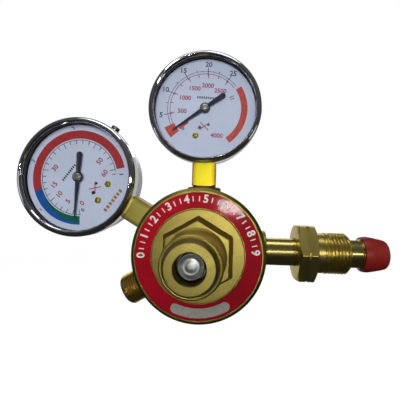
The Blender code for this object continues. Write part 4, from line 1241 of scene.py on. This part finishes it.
def delivery_print(place, tilt):
    """Red, blue and green bands and the fine scale of the delivery dial. Angles are as
    seen from the front; the dial's own frame is tilted."""
    inks = ["black", "pink", "red", "blue", "green", "gold"]
    marks = Print(-DIAL_DEPTH + 0.03)
    marks.band(21.0, 25.5, 198.5 - tilt, 13.0 - tilt, 2)
    marks.band(21.0, 25.5, 273.5 - tilt, 198.5 - tilt, 3)
    marks.band(20.95, (24.6, 21.0), 273.6 - tilt, 204.0 - tilt, 4, 0.02)
    marks.band(20.05, 20.35, 276.0 - tilt, 10.0 - tilt, 0)
    first, last, count = 273.5, 13.0, 25
    for i in range(count + 1):
        angle = first - (first - last) * i / count - tilt
        major = i % 5 == 0
        marks.tick(17.2 if major else 18.1, 20.1, 0.38, angle, 0 if i % 2 else 1)
    upright = -6.5
    labels = [("0", 280), ("5", 248), ("10", 223), ("15", 199), ("30", 161), ("50", 38.5), ("60", 9.6)]
    for words, angle in labels:
        marks.text(words, 2.7, polar(14.2, angle - tilt), upright, 1)
    for words, angle in (("1", 222), ("2", 162), ("3", 99)):
        marks.text(words, 1.9, polar(27.0, angle - tilt), upright, 0)
    marks.text("0", 2.0, polar(17.9, 279.5 - tilt), upright, 0)
    marks.dashes(polar(22.6, -32.3 - tilt), upright, 7, 2.15, 1.3, 1.9, 5)
    marks.tick(18.2, 20.4, 0.5, 6.0 - tilt, 1)
    marks.tick(22.2, 24.4, 0.6, 5.0 - tilt, 0)
    generic_marks(marks, polar(6.1, 156.7 - tilt), polar(10.7, -31.5 - tilt), upright, 0, 2)
    add_mesh("delivery_dial_print", marks.bm, place, [INK[name] for name in inks])


def gauge(prefix, plug_angle, plug_look, screws, stop_angle, pointer_angle):
    """Every piece that both gauges have."""
    place = GAUGES[prefix]
    gauge_case(prefix, place)
    gauge_bezel(prefix, place)
    gauge_lens(prefix, place)
    case_plug(prefix, place, plug_angle, plug_look, plug_look == "spring")
    gauge_dial(prefix, place, screws, stop_angle)
    gauge_socket(prefix, place)
    gauge_pointer(prefix, place, pointer_angle)


def gauges():
    """The cylinder-pressure gauge, upright, and the delivery gauge, tilted with its socket."""
    gauge("high_pressure", 214.2, "black", (-5.1,), 223.0, 215.3)
    high_pressure_print(GAUGES["high_pressure"])
    low = GAUGES["delivery"]
    up = low.to_3x3() @ Vector((0, 1, 0))
    tilt = math.degrees(math.atan2(up.z, up.x)) - 90
    gauge("delivery", 60.0 - tilt, "spring", (-5.1, 5.1), None, -92.0 - tilt)
    delivery_print(low, tilt)


def finish_carried_nodes():
    """Materials for the inner CAD nodes that stay as they are."""
    finish = {
        "steel": ["slip_ring", "push_pin"],
        "spring_steel": ["hairspring"],
        "rubber": ["valve_seat", "lens_gasket"],
        "bronze": ["inlet_filter", "bourdon_tube"],
    }
    for name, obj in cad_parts.items():
        if obj.hide_render:
            continue
        kind = name.replace("high_pressure_", "").replace("delivery_", "")
        look = next((key for key, kinds in finish.items() if kind in kinds), "brass")
        obj.data.materials.clear()
        obj.data.materials.append(CARRIED[look])


# ---- stage

def add_camera():
    """The camera at the reference viewpoint: in front, a little above the axis."""
    data = bpy.data.cameras.new("camera")
    data.sensor_width = 36.0
    data.lens = 29.38617
    data.shift_x, data.shift_y = -0.019385, -0.0085975
    camera = bpy.data.objects.new("camera", data)
    bpy.context.scene.collection.objects.link(camera)
    pitch, roll, yaw = (math.radians(angle) for angle in (2.609, -1.554, 3.047))
    turn = Matrix.Rotation(yaw, 3, "Z") @ Matrix.Rotation(pitch, 3, "X") @ Matrix.Rotation(roll, 3, "Y")
    columns = (turn.col[0], turn.col[2], -turn.col[1])
    matrix = Matrix(columns).transposed().to_4x4()
    matrix.translation = AXIS + Vector((12.574, -189.517, 21.76)) * MM
    camera.matrix_world = matrix
    data.clip_start = 0.005
    bpy.context.scene.camera = camera


def area_light(name, place, target, size, power, mirrored=True):
    data = bpy.data.lights.new(name, "AREA")
    data.shape = "RECTANGLE"
    data.size, data.size_y = size
    data.energy = power
    light = bpy.data.objects.new(name, data)
    bpy.context.scene.collection.objects.link(light)
    light.location = AXIS + Vector(place)
    aim = AXIS + Vector(target) - light.location
    light.rotation_euler = aim.to_track_quat("-Z", "Y").to_euler()
    light.visible_camera = False
    light.visible_glossy = mirrored


def add_lights():
    """Soft key and right box for the paint, panels by the camera and overhead for the brass,
    small strips that the chrome mirrors, and a dim fill from behind."""
    area_light("soft_key", (-0.06, -0.6, 0.16), (-0.03, 0, 0.02), (0.3, 0.26), 1.9, mirrored=False)
    area_light("front_panel", (0.028, -0.62, 0.035), (-0.02, 0, 0.02), (0.055, 0.032), 0.46)
    area_light("inlet_panel", (0.27, -0.6, 0.07), (0.07, 0, 0), (0.22, 0.05), 0.24)
    area_light("overhead", (-0.02, -0.08, 0.55), (0, 0, 0.03), (0.5, 0.16), 0.55)
    area_light("upper_strip", (-0.07, -0.07, 0.21), (-0.03, 0, 0.05), (0.06, 0.03), 0.02)
    area_light("left_strip", (-0.25, -0.05, 0.02), (-0.06, 0, 0.03), (0.04, 0.08), 0.006)
    area_light("right_strip", (0.28, -0.04, 0.0), (-0.03, 0, 0.03), (0.04, 0.1), 0.012)
    area_light("right_box", (0.5, -0.2, 0.2), (0, 0, 0), (0.25, 0.3), 0.35, mirrored=False)
    area_light("back_fill", (0.1, 0.6, 0.4), (0, 0, 0), (0.4, 0.3), 0.45)


def add_world():
    """Plain white for the camera; the metal mirrors a dim room with a pale back wall."""
    g = Graph("studio", bpy.data.worlds)
    parts = g.node("SeparateXYZ", {0: g.node("TexCoord").outputs["Generated"]}).outputs
    level = g.node("MapRange", {0: parts["Z"], 1: -1.0}).outputs[0]
    dim = g.tones(level, (1.0, 1.0, 1.04), [(0.2, 0.02), (1.0, 0.1)])
    wall = g.ramp(parts["Y"], [(0.8, 0.0), (0.97, 0.5)])
    whole = g.node("VectorMath", {0: dim, 1: wall}, operation="ADD").outputs[0]
    room = g.node("Background", {0: whole}).outputs[0]
    seen = g.node("Background", {0: (1.0, 1.0, 1.0)}).outputs[0]
    direct = g.node("LightPath").outputs["Is Camera Ray"]
    g.output(g.node("MixShader", {0: direct, 1: room, 2: seen}), "OutputWorld")
    bpy.context.scene.world = g.owner


def add_floor():
    """Plain pale floor below the object, fading out before its edge."""
    drop = 0.03
    mesh = bpy.data.meshes.new("floor")
    bm = bmesh.new()
    bmesh.ops.create_circle(bm, cap_ends=True, segments=96, radius=1.2)
    bm.to_mesh(mesh)
    bm.free()
    floor = bpy.data.objects.new("floor", mesh)
    floor.location = (AXIS.x, AXIS.y, CAD_BOX[0].z - drop)
    bpy.context.scene.collection.objects.link(floor)
    floor.visible_glossy = False
    floor.visible_diffuse = False
    g = Graph("floor_paint")
    place = g.node("TexCoord").outputs["Object"]
    away = g.node("VectorMath", {0: place}, operation="LENGTH").outputs["Value"]
    fade = g.ramp(away, [(0.2, 0.0), (0.6, 1.0)])
    paint = g.node("BsdfDiffuse", {"Color": (0.30, 0.30, 0.30)})
    glow = g.node("Emission", {"Color": (0.9, 0.9, 0.9), "Strength": 1.0})
    pale = g.node("AddShader", {0: paint.outputs[0], 1: glow.outputs[0]})
    clear = g.node("BsdfTransparent")
    both = g.node("MixShader", {0: fade, 1: pale.outputs[0], 2: clear.outputs[0]})
    mesh.materials.append(g.output(both))


bonnet()
label_ring()
spring_button()
springs()
diaphragm()
rear_plug()
rear_gasket()
body()
inlet_stem()
inlet_nut()
dust_cap()
outlet_nipple()
gauges()
finish_carried_nodes()
add_camera()
add_lights()
add_world()
add_floor()
bpy.context.scene.view_settings.view_transform = "Standard"
